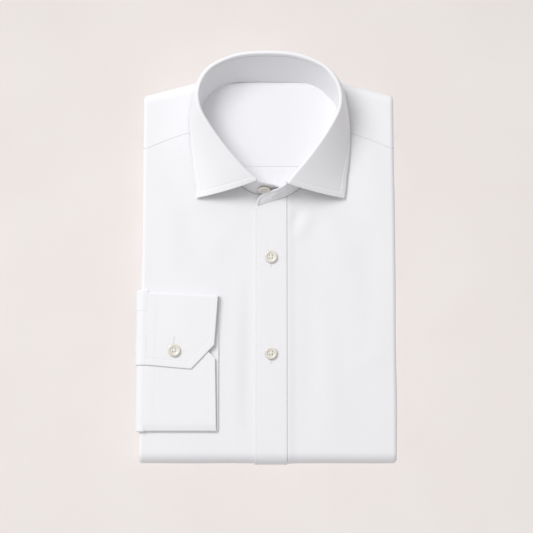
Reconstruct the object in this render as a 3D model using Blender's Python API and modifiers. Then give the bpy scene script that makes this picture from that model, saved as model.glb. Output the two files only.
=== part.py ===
"""A dress shirt folded for display: it lies face up, the collar stands, and one cuff is brought round to the front.

Metres, +Z up. The placket's button line is x = 0, the bottom fold is at y = 0 and the collar is at the far
end, until the last lines move the whole shirt so that the middle of its base is at the origin.
"""

import math
from collections import namedtuple

import bmesh
import bpy
import numpy as np
from mathutils import Vector

# Cloth
CLOTH = 0.0012  # wall of the fronts and the yoke, seam allowances included
THIN_CLOTH = 0.0010  # wall of the inner layers, the placket and the sleeve
COLLAR_STAND_CLOTH = 0.0013  # interlined, so it stands by itself
COLLAR_LEAF_CLOTH = 0.0015
CUFF_CLOTH = 0.0013
GAP = 0.0003  # between pieces that touch

# The folded body
THICKNESS = 0.0220  # of the whole bundle on the button line
CROWN = 0.0012  # the bundle is this much thinner at its sides
SHOULDER_DROP = 0.0010  # and this much thinner towards the shoulders
SHOULDER_DROP_FROM = 0.300
SHOULDER_DROP_OVER = 0.060
SIDE_FOLD = 0.0042  # outer radius of the fold along each side
SIDE_TUCK = 0.0140  # cloth that runs on behind a side fold
BODY_CENTRE = -0.0020
BODY_HALF_WIDTH = 0.1245
BodyEdge = namedtuple("BodyEdge", "y left right")
BODY_EDGES = (
    BodyEdge(0.000, -0.1285, 0.1222),
    BodyEdge(0.178, -0.1265, 0.1216),
    BodyEdge(0.256, -0.1255, 0.1212),
    BodyEdge(0.353, -0.1250, 0.1201),
)
RIDGE_Y = 0.3769  # the far end of the bundle behind the neck
RIDGE_SLOPE = 0.265  # the shoulders fall away from it
RIDGE_FLAT_HALF = 0.0620
FLAP_END_Y = 0.3190  # the tail is turned under as far as this
YOKE_END_Y = 0.3220  # and the yoke comes round to meet it
YOKE_LEVEL_ANGLE = math.radians(70)

# Front edge, placket and buttons
PLACKET_LEFT = -0.0159
PLACKET_RIGHT = 0.0156
PLACKET_OUT = GAP + THIN_CLOTH  # its face stands this far off the fronts
PLACKET_TOP = (0.2489, 0.2592)  # its top edge at its left and right
RIGHT_FRONT_INNER = 0.0152  # the wearer's right front runs on under the placket
LEFT_FRONT_INNER = 0.0158
LIFT_FULL = 0.0175  # under the turned tail the fronts step over the placket
LIFT_NONE = 0.0215
BUTTON_RADIUS = 0.0061
BUTTON_THICKNESS = 0.0023
BUTTON_HOLE_RADIUS = 0.0007
BUTTON_HOLE_SPREAD = 0.0013
FRONT_BUTTONS_Y = (0.2002, 0.1062)
COLLAR_BUTTON_X = -0.0073
COLLAR_BUTTON_UP = 0.47  # how far up the stand it is sewn

# Yoke seams
SEAM_Y = 0.3252  # where the front yoke seam meets the neck
SEAM_SLOPE = 0.25
SEAM_BEND = 2.15
INNER_SEAM_Y = 0.2896  # the seam between yoke and back, seen inside the neck
BACK_END_Y = 0.2350
INNER_LEFT = -0.0760
INNER_RIGHT = 0.0730
INNER_OUT = -CLOTH - 2 * GAP  # the inner layers lie just under the fronts
INNER_YOKE_ANGLE = math.radians(78)

# The collar. Each section gives the neck seam, the fold at the top of the stand, and the leaf's outer edge.
NECK_HALF = 0.0695
COLLAR_CENTRE_FRONT = 0.0009
COLLAR_FRONT_Y = 0.275
COLLAR_LEAN = -0.0370  # sideways drift of its centre for each metre towards the back
CollarSection = namedtuple(
    "CollarSection", "neck_x neck_y fold_x fold_y fold_z edge_x edge_y edge_z"
)
COLLAR_SECTIONS = (
    CollarSection(0.0000, 0.3760, 0.0000, 0.3978, 0.0500, 0.0000, 0.3885, 0.0080),
    CollarSection(0.0200, 0.3758, 0.0200, 0.3968, 0.0502, 0.0220, 0.3880, 0.0085),
    CollarSection(0.0360, 0.3742, 0.0370, 0.3928, 0.0508, 0.0425, 0.3845, 0.0110),
    CollarSection(0.0515, 0.3678, 0.0545, 0.3840, 0.0520, 0.0615, 0.3780, 0.0170),
    CollarSection(0.0640, 0.3550, 0.0645, 0.3720, 0.0533, 0.0714, 0.3665, 0.0226),
    CollarSection(0.0688, 0.3420, 0.0692, 0.3572, 0.0540, 0.0760, 0.3480, 0.0234),
    CollarSection(0.0697, 0.3280, 0.0673, 0.3420, 0.0540, 0.0784, 0.3290, 0.0238),
    CollarSection(0.0665, 0.3110, 0.0588, 0.3260, 0.0530, 0.0779, 0.3110, 0.0240),
    CollarSection(0.0585, 0.2950, 0.0475, 0.3095, 0.0515, 0.0766, 0.2940, 0.0240),
    CollarSection(0.0450, 0.2805, 0.0350, 0.2935, 0.0498, 0.0752, 0.2780, 0.0240),
    CollarSection(0.0290, 0.2685, 0.0240, 0.2810, 0.0482, 0.0740, 0.2660, 0.0241),
)
LEFT_CORNER = CollarSection(-0.0160, 0.2623, -0.0141, 0.2730, 0.0468, -0.0733, 0.2578, 0.0242)
RIGHT_CORNER = CollarSection(0.0167, 0.2598, 0.0157, 0.2699, 0.0472, 0.0716, 0.2575, 0.0242)
StandSection = namedtuple("StandSection", "neck_x neck_y fold_x fold_y fold_z")
UNDER_END = (
    StandSection(-0.0060, 0.2622, -0.0052, 0.2727, 0.0430),
    StandSection(0.0030, 0.2619, 0.0030, 0.2713, 0.0375),
    StandSection(0.0090, 0.2615, 0.0092, 0.2682, 0.0310),
    StandSection(0.0125, 0.2612, 0.0128, 0.2626, 0.0238),
)
OVER_END = (
    StandSection(0.0080, 0.2573, 0.0070, 0.2678, 0.0412),
    StandSection(-0.0010, 0.2541, -0.0010, 0.2630, 0.0340),
    StandSection(-0.0080, 0.2518, -0.0088, 0.2594, 0.0286),
    StandSection(-0.0120, 0.2507, -0.0125, 0.2567, 0.0265),
    StandSection(-0.0143, 0.2501, -0.0143, 0.2540, 0.0253),
)
STAND_SETBACK = 0.0003  # from under the fold's crest in to the stand's face
LEAF_HALF_FOLD = 0.0017  # half the leaf's outside width at its fold
STAND_SEAM_GAP = 0.0008
STAND_BELOW_FOLD = 0.0047  # the leaf rolls in over the stand this far
LEAF_ROLL_DEPTH = 0.0042
LEAF_BULGE = 0.0015
LEAF_MARGIN = 0.08  # of a section, between its corners and the ends of the stand

# The sleeve that comes round the left side, and its cuff
SLEEVE_LOW_Y = 0.0300
SLEEVE_HIGH_Y = 0.1677
SLEEVE_HEIGHT = 0.0026
SLEEVE_SEAM_HEIGHT = 0.0040  # where it is sewn to the cuff
SLEEVE_ROUND = 0.0012
SLEEVE_TUCK = 0.0080
PLEAT_Y = 0.1477
PLEAT_STEP = 0.0007
SLEEVE_PLACKET_Y = (0.0948, 0.1243)
SLEEVE_PLACKET_CLOTH = 0.0010
SLEEVE_PLACKET_ANGLE = math.radians(110)
CUFF_SEAM_LOW = -0.1231  # the seam to the sleeve, at its low and high ends
CUFF_SEAM_HIGH = -0.1193
CUFF_SEAM_MIDDLE_Y = 0.095
CUFF_LOW_Y = 0.0306
CUFF_HIGH_Y = 0.1664
CUFF_HIGH_SLOPE = -0.0035
CUFF_HEM_BACK = -0.0509
CUFF_HEM_UNDER = (-0.0532, -0.0542)  # at the low fold and at the mitre
CUFF_HEM_OVER = (-0.0551, -0.0517)  # at the mitre and at the high fold
CUFF_UNDER_OUT = 0.0045  # outer face of the end that is buttoned under
CUFF_OVER_OUT = 0.0061  # outer face of the end that laps over it
CUFF_OVER_END_Y = (0.0950, 0.0909)  # at the seam and at the mitre
CUFF_OVER_MITRE_Y = 0.1143
CUFF_UNDER_END_Y = 0.1245
CUFF_UNDER_MITRE_Y = 0.1011
CUFF_MITRE_X = -0.0775
CUFF_BUTTON = (-0.0938, 0.1087)

# The hidden layers
CORE_INSET = CLOTH + 2 * GAP
CORE_INNER_INSET = THIN_CLOTH + GAP - INNER_OUT  # where the inner layers lie over it
CORE_STEP = 0.0025  # length over which its section changes
LAYER_GROOVE = 0.0020  # between the two turned sleeves that show at the sides
LAYER_OUT = 0.0012  # they reach this far past the start of the side fold

WHITE = (0.86, 0.86, 0.89)
SHELL_WHITE = (0.86, 0.83, 0.76)

Column = namedtuple("Column", "x turn tuck")
FIRST_TURN = math.radians(1)
TURN_ANGLES = tuple(math.radians(a) for a in (36, 72, 108, 144, 180))


def smooth(t):
    t = min(max(t, 0.0), 1.0)
    return t * t * (3 - 2 * t)


def lerp(a, b, t):
    return a + (b - a) * t


# The shape of the folded bundle


def edge_x(side, y):
    """The bundle's outline at the left (side -1) or the right (side 1)."""
    edge = "left" if side < 0 else "right"
    return float(np.interp(y, [row.y for row in BODY_EDGES], [getattr(row, edge) for row in BODY_EDGES]))


def fold_start(side, y):
    """Where the flat top ends and the side fold begins."""
    return edge_x(side, y) - side * SIDE_FOLD


def top_height(x, y):
    across = min(abs(x - BODY_CENTRE) / BODY_HALF_WIDTH, 1.0)
    shoulder = smooth((y - SHOULDER_DROP_FROM) / SHOULDER_DROP_OVER)
    return THICKNESS - CROWN * across**2.5 - SHOULDER_DROP * shoulder


def ridge_y(x):
    return RIDGE_Y - RIDGE_SLOPE * max(0.0, abs(x - BODY_CENTRE) - RIDGE_FLAT_HALF)


def ridge_radius(x):
    return top_height(x, RIDGE_Y) / 2


def wrap(p, radius, rise):
    """Bends a layer round one end of the bundle. p is the distance along the outer face past the start of the
    bend, and rise how far the point stands above that face. Returns the distance past the start, and z."""
    if p <= 0:
        return p, 2 * radius + rise
    if p < math.pi * radius:
        angle = p / radius
        return (radius + rise) * math.sin(angle), radius + (radius + rise) * math.cos(angle)
    return math.pi * radius - p, -rise


def across(side, column, y, out):
    """A point of the bundle's cross-section at y: its x, the flat top's height there, and its rise above it."""
    if not column.turn:
        return column.x, column.x, out
    start = fold_start(side, y)
    radius = SIDE_FOLD + out
    if column.tuck:
        return start - side * column.tuck, start, -2 * SIDE_FOLD - out
    rise = radius * math.cos(column.turn) - SIDE_FOLD
    return start + side * radius * math.sin(column.turn), start, rise


def side_columns(side, flat, tuck=SIDE_TUCK, angles=TURN_ANGLES):
    """Columns of a panel: flat ones at their x, then round the side fold and a little way behind it."""
    start = fold_start(side, SHOULDER_DROP_FROM)
    columns = [Column(x, 0.0, 0.0) for x in flat if abs(x) < abs(start)]
    columns += [Column(start, FIRST_TURN, 0.0)]
    columns += [Column(start, angle, 0.0) for angle in angles]
    return columns + ([Column(start, math.pi, tuck)] if tuck else [])


def tail_lift(x):
    """On the underside the fronts lie this far up, over the placket."""
    return PLACKET_OUT * min(max((LIFT_NONE - abs(x)) / (LIFT_NONE - LIFT_FULL), 0.0), 1.0)


def tail_point(side, column, p, out):
    """A point on the fronts. p is the distance past the start of the bottom fold, negative up the front."""
    radius = top_height(column.x, 0.0) / 2
    y = radius - p if p < 0 else radius + max(p - math.pi * radius, 0.0)
    x, level_x, rise = across(side, column, y, out)
    past, z = wrap(p, radius, rise)
    if p <= 0:
        z = top_height(level_x, radius - p) + rise
    share = min(max(p / (math.pi * radius), 0.0), 1.0)
    return x, radius - past, z + tail_lift(x) * share


def ridge_point(side, column, p, out):
    """A point on the yoke. p is the distance past the start of the bend over the shoulders."""
    radius = ridge_radius(column.x)
    start = ridge_y(column.x) - radius
    y = start + p if p < 0 else start - max(p - math.pi * radius, 0.0)
    x, level_x, rise = across(side, column, y, out)
    past, z = wrap(p, radius, rise)
    if p <= 0:
        z = top_height(level_x, start + p) + rise
    return x, start + past, z


def surface_z(x, y):
    """Height of the fronts' and yoke's outer face at a point seen from above."""
    radius = ridge_radius(x)
    start = ridge_y(x) - radius
    if y <= start:
        return top_height(x, y)
    return radius * (1 + math.sqrt(max(0.0, 1 - ((y - start) / radius) ** 2)))


# Making objects


def new_collection(name):
    collection = bpy.data.collections.new(name)
    bpy.context.scene.collection.children.link(collection)
    return collection


def material(name, colour, roughness):
    made = bpy.data.materials.new(name)
    made.use_nodes = True
    shader = made.node_tree.nodes["Principled BSDF"]
    shader.inputs["Base Color"].default_value = (*colour, 1.0)
    shader.inputs["Roughness"].default_value = roughness
    shader.inputs["Metallic"].default_value = 0.0
    return made


def add_object(name, data, finish, collection):
    made = bpy.data.objects.new(name, data)
    made.data.materials.append(finish)
    collection.objects.link(made)
    return made


def end_cap(ring, wide):
    """The polygons that fill a ring, whose points run across the top, down one side, back underneath and up.
    wide is how many of them are across the top, and across the underside."""
    deep = len(ring) // 2 - wide
    top, right = ring[:wide], ring[wide : wide + deep]
    bottom, left = ring[wide + deep : 2 * wide + deep][::-1], ring[2 * wide + deep :]
    quads = [[top[i], top[i + 1], bottom[i + 1], bottom[i]] for i in range(1, wide - 2)]
    return [
        [top[0], top[1], bottom[1], bottom[0], *left],
        *quads,
        [top[-2], top[-1], *right, bottom[-1], bottom[-2]],
    ]


def grid_mesh(name, rows, flip=False, ring=False, cap_width=0):
    """A surface through rows of points. With ring each row closes on itself, and with cap_width, the number of
    points across its top, both ends are filled."""
    shape = bmesh.new()
    verts = [[shape.verts.new(point) for point in row] for row in rows]
    wide = len(rows[0])
    for near, far in zip(verts, verts[1:]):
        for j in range(wide if ring else wide - 1):
            k = (j + 1) % wide
            corners = [near[j], far[j], far[k], near[k]]
            shape.faces.new(corners[::-1] if flip else corners)
    if cap_width:
        for corners in end_cap(verts[0], cap_width):
            shape.faces.new(corners[::-1] if flip else corners)
        for corners in end_cap(verts[-1], cap_width):
            shape.faces.new(corners if flip else corners[::-1])
    mesh = bpy.data.meshes.new(name)
    shape.to_mesh(mesh)
    shape.free()
    mesh.shade_smooth()
    return mesh


def cloth(name, rows, thickness, finish, collection, flip=False, ring=False):
    """A piece of cloth: a surface on its outer face, given its wall on the inside."""
    made = add_object(name, grid_mesh(name, rows, flip, ring), finish, collection)
    wall = made.modifiers.new("wall", "SOLIDIFY")
    wall.thickness = thickness
    wall.offset = -1.0
    return made


# The neck and the collar


def collar_centre(y):
    return COLLAR_CENTRE_FRONT + COLLAR_LEAN * (y - COLLAR_FRONT_Y)


def place_section(section, side):
    """A section of the half collar on its own side of the collar's centre line, as three points."""
    neck_x, neck_y, fold_x, fold_y, fold_z, leaf_x, leaf_y, leaf_z = section
    neck = (collar_centre(neck_y) + side * neck_x, neck_y)
    return (
        Vector((*neck, surface_z(*neck) + STAND_SEAM_GAP)),
        Vector((collar_centre(fold_y) + side * fold_x, fold_y, fold_z)),
        Vector((collar_centre(leaf_y) + side * leaf_x, leaf_y, leaf_z)),
    )


def corner_section(section, on_placket):
    """A front corner of the leaf, or a section of an end of the stand beyond it, as points."""
    raised = PLACKET_OUT if on_placket else 0.0
    neck = (section.neck_x, section.neck_y)
    points = [
        Vector((*neck, surface_z(*neck) + STAND_SEAM_GAP + raised)),
        Vector((section.fold_x, section.fold_y, section.fold_z)),
    ]
    if hasattr(section, "edge_x"):
        points.append(Vector((section.edge_x, section.edge_y, section.edge_z)))
    return tuple(points)


def leaf_sections():
    left = [place_section(s, -1) for s in COLLAR_SECTIONS[::-1]]
    right = [place_section(s, 1) for s in COLLAR_SECTIONS[1:]]
    return [corner_section(LEFT_CORNER, False), *left, *right, corner_section(RIGHT_CORNER, True)]


def stand_sections():
    """From the end that is buttoned under, round the neck, to the end that laps over."""
    under = [corner_section(s, False) for s in UNDER_END[::-1]]
    over = [corner_section(s, True) for s in OVER_END]
    return under + [section[:2] for section in leaf_sections()] + over


def along(sections, s):
    """The section at s, counted in sections from the first, on smooth curves through them all."""
    i = min(int(s), len(sections) - 2)
    t = float(s) - i
    before, after = sections[max(i - 1, 0)], sections[min(i + 2, len(sections) - 1)]
    found = []
    for p0, p1, p2, p3 in zip(before, sections[i], sections[i + 1], after):
        bend = (2 * p0 - 5 * p1 + 4 * p2 - p3) * t + (3 * p1 - p0 - 3 * p2 + p3) * t * t
        found.append(p1 + 0.5 * t * (p2 - p0 + bend))
    return found


def frame_at(sections, s):
    """The section at s with the level direction that points into the neck there."""
    last = len(sections) - 1
    found = along(sections, s)
    ahead = along(sections, min(s + 0.05, last))[1] - along(sections, max(s - 0.05, 0.0))[1]
    inward = Vector((ahead.y, -ahead.x, 0.0)).normalized()
    return found, inward


def neck_curve(side, back):
    """The neck seam's x and y on one side, from its widest point to the front or to the back."""
    sections = stand_sections()
    middle = len(UNDER_END) + len(COLLAR_SECTIONS)
    stations = np.linspace(0, middle, 200) if side < 0 else np.linspace(middle, len(sections) - 1, 200)
    points = [along(sections, s)[0] for s in stations]
    widest = max(points, key=lambda p: side * p.x)
    own = [p for p in points if (p.y > widest.y) == back] + [widest]
    return sorted((side * p.x, p.y) for p in own)


def neck_y(side, x, back):
    curve = neck_curve(side, back)
    return float(np.interp(side * x, [p[0] for p in curve], [p[1] for p in curve]))


def yoke_seam_y(x):
    past = max(abs(x - BODY_CENTRE) - NECK_HALF, 0.0)
    return SEAM_Y - SEAM_SLOPE * past - SEAM_BEND * past * past


def front_top_y(side, x):
    """Top edge of a front: the neck, and beyond it the yoke seam."""
    if abs(x - BODY_CENTRE) > NECK_HALF:
        return yoke_seam_y(x)
    return neck_y(side, x, back=False)


# The pieces


def make_front(name, side, inner_x, finish, collection):
    """A front: from the neck and yoke seam, round the side fold, round the bottom fold and back underneath."""
    flat = [inner_x]
    flat += [side * x for x in (0.0175, 0.0215, 0.033, 0.045, 0.056, 0.064, 0.068, 0.073, 0.092, 0.108)]
    rows_down = (0.0, 0.04, 0.12, 0.3, 0.55, 0.8, 0.93, 1.0)
    turns = np.linspace(0, 1, 9)[1:]
    tucks = (0.010, 0.10, 0.20, FLAP_END_Y)
    columns = side_columns(side, flat)
    strips = []
    for column in columns:
        radius = top_height(column.x, 0.0) / 2
        top = radius - front_top_y(side, column.x)
        steps = [top * (1 - g) for g in rows_down]
        steps += [math.pi * radius * turn for turn in turns]
        steps += [math.pi * radius + y - radius for y in tucks if y > radius]
        strips.append([tail_point(side, column, p, 0.0) for p in steps])
    rows = list(zip(*strips))
    return cloth(name, rows, CLOTH, finish, collection, flip=side < 0)


def make_placket(finish, collection):
    xs = np.linspace(PLACKET_LEFT, PLACKET_RIGHT, 4)
    tops = np.linspace(*PLACKET_TOP, 4)
    strips = []
    for x, top_y in zip(xs, tops):
        radius = top_height(x, 0.0) / 2
        steps = [(radius - top_y) * (1 - g) for g in (0.0, 0.05, 0.3, 0.65, 0.95, 1.0)]
        steps += [math.pi * radius * turn for turn in np.linspace(0, 1, 9)[1:]]
        steps += [math.pi * radius + y - radius for y in (0.10, 0.20, FLAP_END_Y)]
        strips.append([tail_point(1, Column(x, 0.0, 0.0), p, PLACKET_OUT) for p in steps])
    return cloth("placket", list(zip(*strips)), THIN_CLOTH, finish, collection)


def make_yoke(finish, collection):
    """The yoke: both shoulders and the strip behind the neck, bent over the far end and back underneath."""
    half = (0.020, 0.038, 0.046, 0.052, 0.056, 0.060, 0.063, 0.066, 0.0682, 0.0700, 0.085, 0.100, 0.112)
    centre = collar_centre(RIDGE_Y)
    strips = []
    left = side_columns(-1, [centre - x for x in half])[::-1]
    right = side_columns(1, [centre + x for x in half])
    for column in [*left, Column(centre, 0.0, 0.0), *right]:
        side = -1 if column.x < centre else 1
        radius = ridge_radius(column.x)
        start = ridge_y(column.x) - radius
        if abs(column.x - centre) < NECK_HALF:
            begin = neck_y(side, column.x, back=True)
        else:
            begin = yoke_seam_y(column.x) + GAP
        first = begin - start
        if first > 0:
            first = radius * math.asin(min(first / radius, 1.0))
        level = YOKE_LEVEL_ANGLE * radius
        if first < -level:
            steps = [*np.linspace(first, 0.0, 5)[:-1], *np.linspace(0.0, level, 5)]
        else:
            steps = list(np.linspace(first, level, 9))
        steps += [lerp(level, math.pi * radius, g) for g in np.linspace(0, 1, 6)[1:]]
        steps += [math.pi * radius + start - YOKE_END_Y]
        strips.append([ridge_point(side, column, p, 0.0) for p in steps])
    return cloth("yoke", list(zip(*strips)), CLOTH, finish, collection, flip=True)


def make_inner_yoke(finish, collection):
    """The yoke's inner layer, seen in the neck, from its seam to behind the collar stand."""
    strips = []
    for x in np.linspace(INNER_LEFT, INNER_RIGHT, 9):
        radius = ridge_radius(x)
        first = INNER_SEAM_Y - (ridge_y(x) - radius)
        steps = [first * (1 - g) for g in (0.0, 0.3, 0.65, 1.0)]
        steps += [INNER_YOKE_ANGLE * radius * g for g in np.linspace(0, 1, 7)[1:]]
        strips.append([ridge_point(1, Column(x, 0.0, 0.0), p, INNER_OUT) for p in steps])
    return cloth("yoke_inner", list(zip(*strips)), THIN_CLOTH, finish, collection, flip=True)


def make_back(finish, collection):
    """The back below the yoke seam, as far as it can be seen through the neck and a little further."""
    ys = (INNER_SEAM_Y - GAP, 0.272, 0.254, BACK_END_Y)
    xs = np.linspace(INNER_LEFT, INNER_RIGHT, 9)
    rows = [[(x, y, top_height(x, y) + INNER_OUT) for x in xs] for y in ys]
    return cloth("back", rows, THIN_CLOTH, finish, collection)


def make_collar_stand(finish, collection):
    sections = stand_sections()
    first, last = len(UNDER_END), len(sections) - 1 - len(OVER_END)
    ends = [*np.linspace(0, first - LEAF_MARGIN, 7), *np.linspace(last + LEAF_MARGIN, len(sections) - 1, 9)]
    rows = []
    for s in sorted(ends + list(np.linspace(first, last, 43))):
        (neck, fold), inward = frame_at(sections, s)
        top = fold.copy()
        if first - 0.01 < s < last + 0.01:
            down = (neck - fold).normalized()
            top += down * STAND_BELOW_FOLD - square_to(down, inward) * STAND_SETBACK
        rows.append([neck.lerp(top, v) for v in (0.0, 0.33, 0.67, 1.0)])
    return cloth("collar_stand", rows, COLLAR_STAND_CLOTH, finish, collection, flip=True)


def square_to(down, inward):
    """The outward direction at right angles to a slope that runs down."""
    outward = -inward
    return (outward - down * outward.dot(down)).normalized()


def leaf_profile(neck, fold, edge, inward):
    """The leaf in section: up from the stand's top, over the fold and down outside to its edge."""
    down_inside = (neck - fold).normalized()
    down_outside = (edge - fold).normalized()
    points = [fold - square_to(down_inside, inward) * LEAF_HALF_FOLD + down_inside * LEAF_ROLL_DEPTH]
    for angle in (math.radians(a) for a in (-90, -60, -30, 0, 30, 60, 90)):
        down = down_inside.lerp(down_outside, (math.sin(angle) + 1) / 2).normalized()
        reach = square_to(down, inward) * math.sin(angle) + down * (1 - math.cos(angle))
        points.append(fold + reach * LEAF_HALF_FOLD)
    begin = points[-1]
    outward = square_to((edge - begin).normalized(), inward)
    for v in (0.12, 0.3, 0.5, 0.7, 0.88, 1.0):
        points.append(begin.lerp(edge, v) + outward * LEAF_BULGE * 4 * v * (1 - v))
    return points


def make_collar_leaf(finish, collection):
    sections = leaf_sections()
    rows = []
    for s in np.linspace(LEAF_MARGIN, len(sections) - 1 - LEAF_MARGIN, 45):
        (neck, fold, edge), inward = frame_at(sections, s)
        rows.append(leaf_profile(neck, fold, edge, inward))
    return cloth("collar_leaf", rows, COLLAR_LEAF_CLOTH, finish, collection)


def cuff_seam_x(y):
    return lerp(CUFF_SEAM_LOW, CUFF_SEAM_HIGH, (y - CUFF_LOW_Y) / (CUFF_HIGH_Y - CUFF_LOW_Y))


def sleeve_point(angle, tuck, y, out):
    """A point on the sleeve: beside the cuff's seam, or round the left side fold, or tucked in behind it."""
    column = Column(cuff_seam_x(y) - GAP, angle, tuck)
    x, level_x, rise = across(-1, column, y, out)
    return x, y, top_height(level_x, y) + rise


def sleeve_height(angle, y):
    """The flattened sleeve is thickest at the cuff's seam, with a step at its pleat, and thins round the fold."""
    seam = SLEEVE_SEAM_HEIGHT + (PLEAT_STEP if y > PLEAT_Y else 0.0)
    return lerp(seam, SLEEVE_HEIGHT, angle / math.pi)


def make_sleeve(finish, collection):
    """The end of the sleeve, a flattened tube with one pleat, round the side fold and in between the layers."""
    low, high = SLEEVE_LOW_Y, SLEEVE_HIGH_Y
    step = 0.0006
    outer_ys = (low + SLEEVE_ROUND, 0.06, 0.09, 0.12, PLEAT_Y - step, PLEAT_Y + step, high - SLEEVE_ROUND)
    loop = [(low, 0.5)] + [(y, 1.0) for y in outer_ys] + [(high, 0.5)]
    loop += [(y, 0.0) for y in (high - SLEEVE_ROUND, 0.12, 0.06, low + SLEEVE_ROUND)]
    stations = [(0.0, 0.0), (FIRST_TURN, 0.0)] + [(angle, 0.0) for angle in TURN_ANGLES]
    stations.append((math.pi, SLEEVE_TUCK))
    rings = []
    for angle, tuck in stations:
        rings.append([sleeve_point(angle, tuck, y, GAP + sleeve_height(angle, y) * share) for y, share in loop])
    return cloth("sleeve", rings, THIN_CLOTH, finish, collection, flip=True, ring=True)


def make_sleeve_placket(finish, collection):
    """The strip that finishes the sleeve's opening, lying on the sleeve from the cuff round the side fold."""
    low, high = SLEEVE_PLACKET_Y
    rows = []
    for angle in (0.0, FIRST_TURN, *(a for a in TURN_ANGLES if a < SLEEVE_PLACKET_ANGLE)):
        out = GAP + sleeve_height(angle, low) + GAP + SLEEVE_PLACKET_CLOTH
        rows.append([sleeve_point(angle, 0.0, y, out) for y in np.linspace(low, high, 4)])
    return cloth("sleeve_placket", rows, SLEEVE_PLACKET_CLOTH, finish, collection)


def cuff_over_end(x):
    """The lapped end's edge: straight from the seam, then cut off across the corner."""
    if x < CUFF_MITRE_X:
        share = (x - CUFF_SEAM_LOW) / (CUFF_MITRE_X - CUFF_SEAM_LOW)
        return lerp(*CUFF_OVER_END_Y, share)
    share = (x - CUFF_MITRE_X) / (CUFF_HEM_OVER[0] - CUFF_MITRE_X)
    return lerp(CUFF_OVER_END_Y[1], CUFF_OVER_MITRE_Y, share)


def cuff_under_end(x):
    if x < CUFF_MITRE_X:
        return CUFF_UNDER_END_Y
    share = (x - CUFF_MITRE_X) / (CUFF_HEM_UNDER[1] - CUFF_MITRE_X)
    return lerp(CUFF_UNDER_END_Y, CUFF_UNDER_MITRE_Y, share)


def cuff_path(v):
    """The cuff along one thread, v of the way from seam to hem, as (y, height above the front, hem x)."""
    high_y = CUFF_HIGH_Y + CUFF_HIGH_SLOPE * v
    seam = cuff_seam_x(CUFF_SEAM_MIDDLE_Y)
    under_x = lerp(seam, CUFF_HEM_UNDER[1], v)
    over_x = lerp(seam, CUFF_HEM_OVER[0], v)
    low_radius = (CUFF_UNDER_OUT - GAP) / 2
    high_radius = (CUFF_OVER_OUT - GAP) / 2
    path = []
    for t in (0.0, 0.5, 1.0):
        y = lerp(cuff_under_end(under_x), CUFF_LOW_Y + low_radius, t)
        path.append((y, CUFF_UNDER_OUT, lerp(*CUFF_HEM_UNDER[::-1], t)))
    for turn in np.radians((36, 72, 108, 144, 180)):
        y = CUFF_LOW_Y + low_radius * (1 - math.sin(turn))
        out = GAP + low_radius * (1 + math.cos(turn))
        path.append((y, out, lerp(CUFF_HEM_UNDER[0], CUFF_HEM_BACK, turn / math.pi)))
    path.append((lerp(CUFF_LOW_Y, high_y, 0.5), GAP, CUFF_HEM_BACK))
    for turn in np.radians((0, 36, 72, 108, 144, 180)):
        y = high_y - high_radius * (1 - math.sin(turn))
        out = GAP + high_radius * (1 - math.cos(turn))
        path.append((y, out, lerp(CUFF_HEM_BACK, CUFF_HEM_OVER[1], turn / math.pi)))
    for t in (0.35, 0.7, 1.0):
        y = lerp(high_y - high_radius, cuff_over_end(over_x), t)
        path.append((y, CUFF_OVER_OUT, lerp(*CUFF_HEM_OVER[::-1], t)))
    return path


def make_cuff(finish, collection):
    """The cuff: one strip wound into a flat tube, its mitred ends buttoned one over the other."""
    mitre = (CUFF_MITRE_X - CUFF_SEAM_LOW) / (CUFF_HEM_OVER[0] - CUFF_SEAM_LOW)
    strips = []
    for v in (0.0, 0.35, mitre, 0.84, 1.0):
        strip = []
        for y, out, hem_x in cuff_path(v):
            x = lerp(cuff_seam_x(y), hem_x, v)
            strip.append((x, y, top_height(x, y) + out))
        strips.append(strip)
    return cloth("cuff", list(zip(*strips)), CUFF_CLOTH, finish, collection)


def core_side(side, y, inset, notch):
    """One side of the hidden layers in section, top to bottom: the turned-in side, two folds of sleeve, and
    the turned-under tail, with a slot above and below for the cloth that is tucked in."""
    start = fold_start(side, y)
    edge = top_height(start, y)
    radius = SIDE_FOLD - inset
    angles = np.radians((45, 0, -45, -90))
    upper = [(start + side * radius * math.cos(a), edge - SIDE_FOLD + radius * math.sin(a)) for a in angles]
    slot = start - side * (SIDE_TUCK + GAP)
    top, bottom = edge - 2 * SIDE_FOLD - GAP, 2 * SIDE_FOLD + GAP
    reach = start + side * (-SLEEVE_TUCK - 2 * GAP if notch else LAYER_OUT)
    groove = reach - side * LAYER_GROOVE
    middle = [
        (slot, edge - SIDE_FOLD - radius),
        (slot, top),
        (groove, top),
        (reach, lerp(top, bottom, 0.25)),
        (groove, lerp(top, bottom, 0.5)),
        (reach, lerp(top, bottom, 0.75)),
        (groove, bottom),
        (slot, bottom),
        (slot, 2 * SIDE_FOLD - CORE_INSET),
    ]
    radius = SIDE_FOLD - CORE_INSET
    angles = np.radians((90, 45, 0, -45))
    lower = [(start + side * radius * math.cos(a), SIDE_FOLD + radius * math.sin(a)) for a in angles]
    return upper + middle + lower


def core_narrow_side(side, y, section, top, bottom, even):
    """The same side where the bundle bends over an end: plain, and clear of the tucked cloth. Its points keep
    the section's levels, or with even set to 1 they are spread evenly."""
    x = fold_start(side, y) - side * (SIDE_TUCK + 2 * GAP)
    levels = np.linspace(top, bottom, len(section) + 2)[1:-1]
    return [(x, lerp(z, level, even)) for (_, z), level in zip(section, levels)]


CORE_XS = (-0.095, -0.070, -0.045, -0.023, -LIFT_FULL, 0.0, LIFT_FULL, 0.023, 0.045, 0.070, 0.095)


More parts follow.
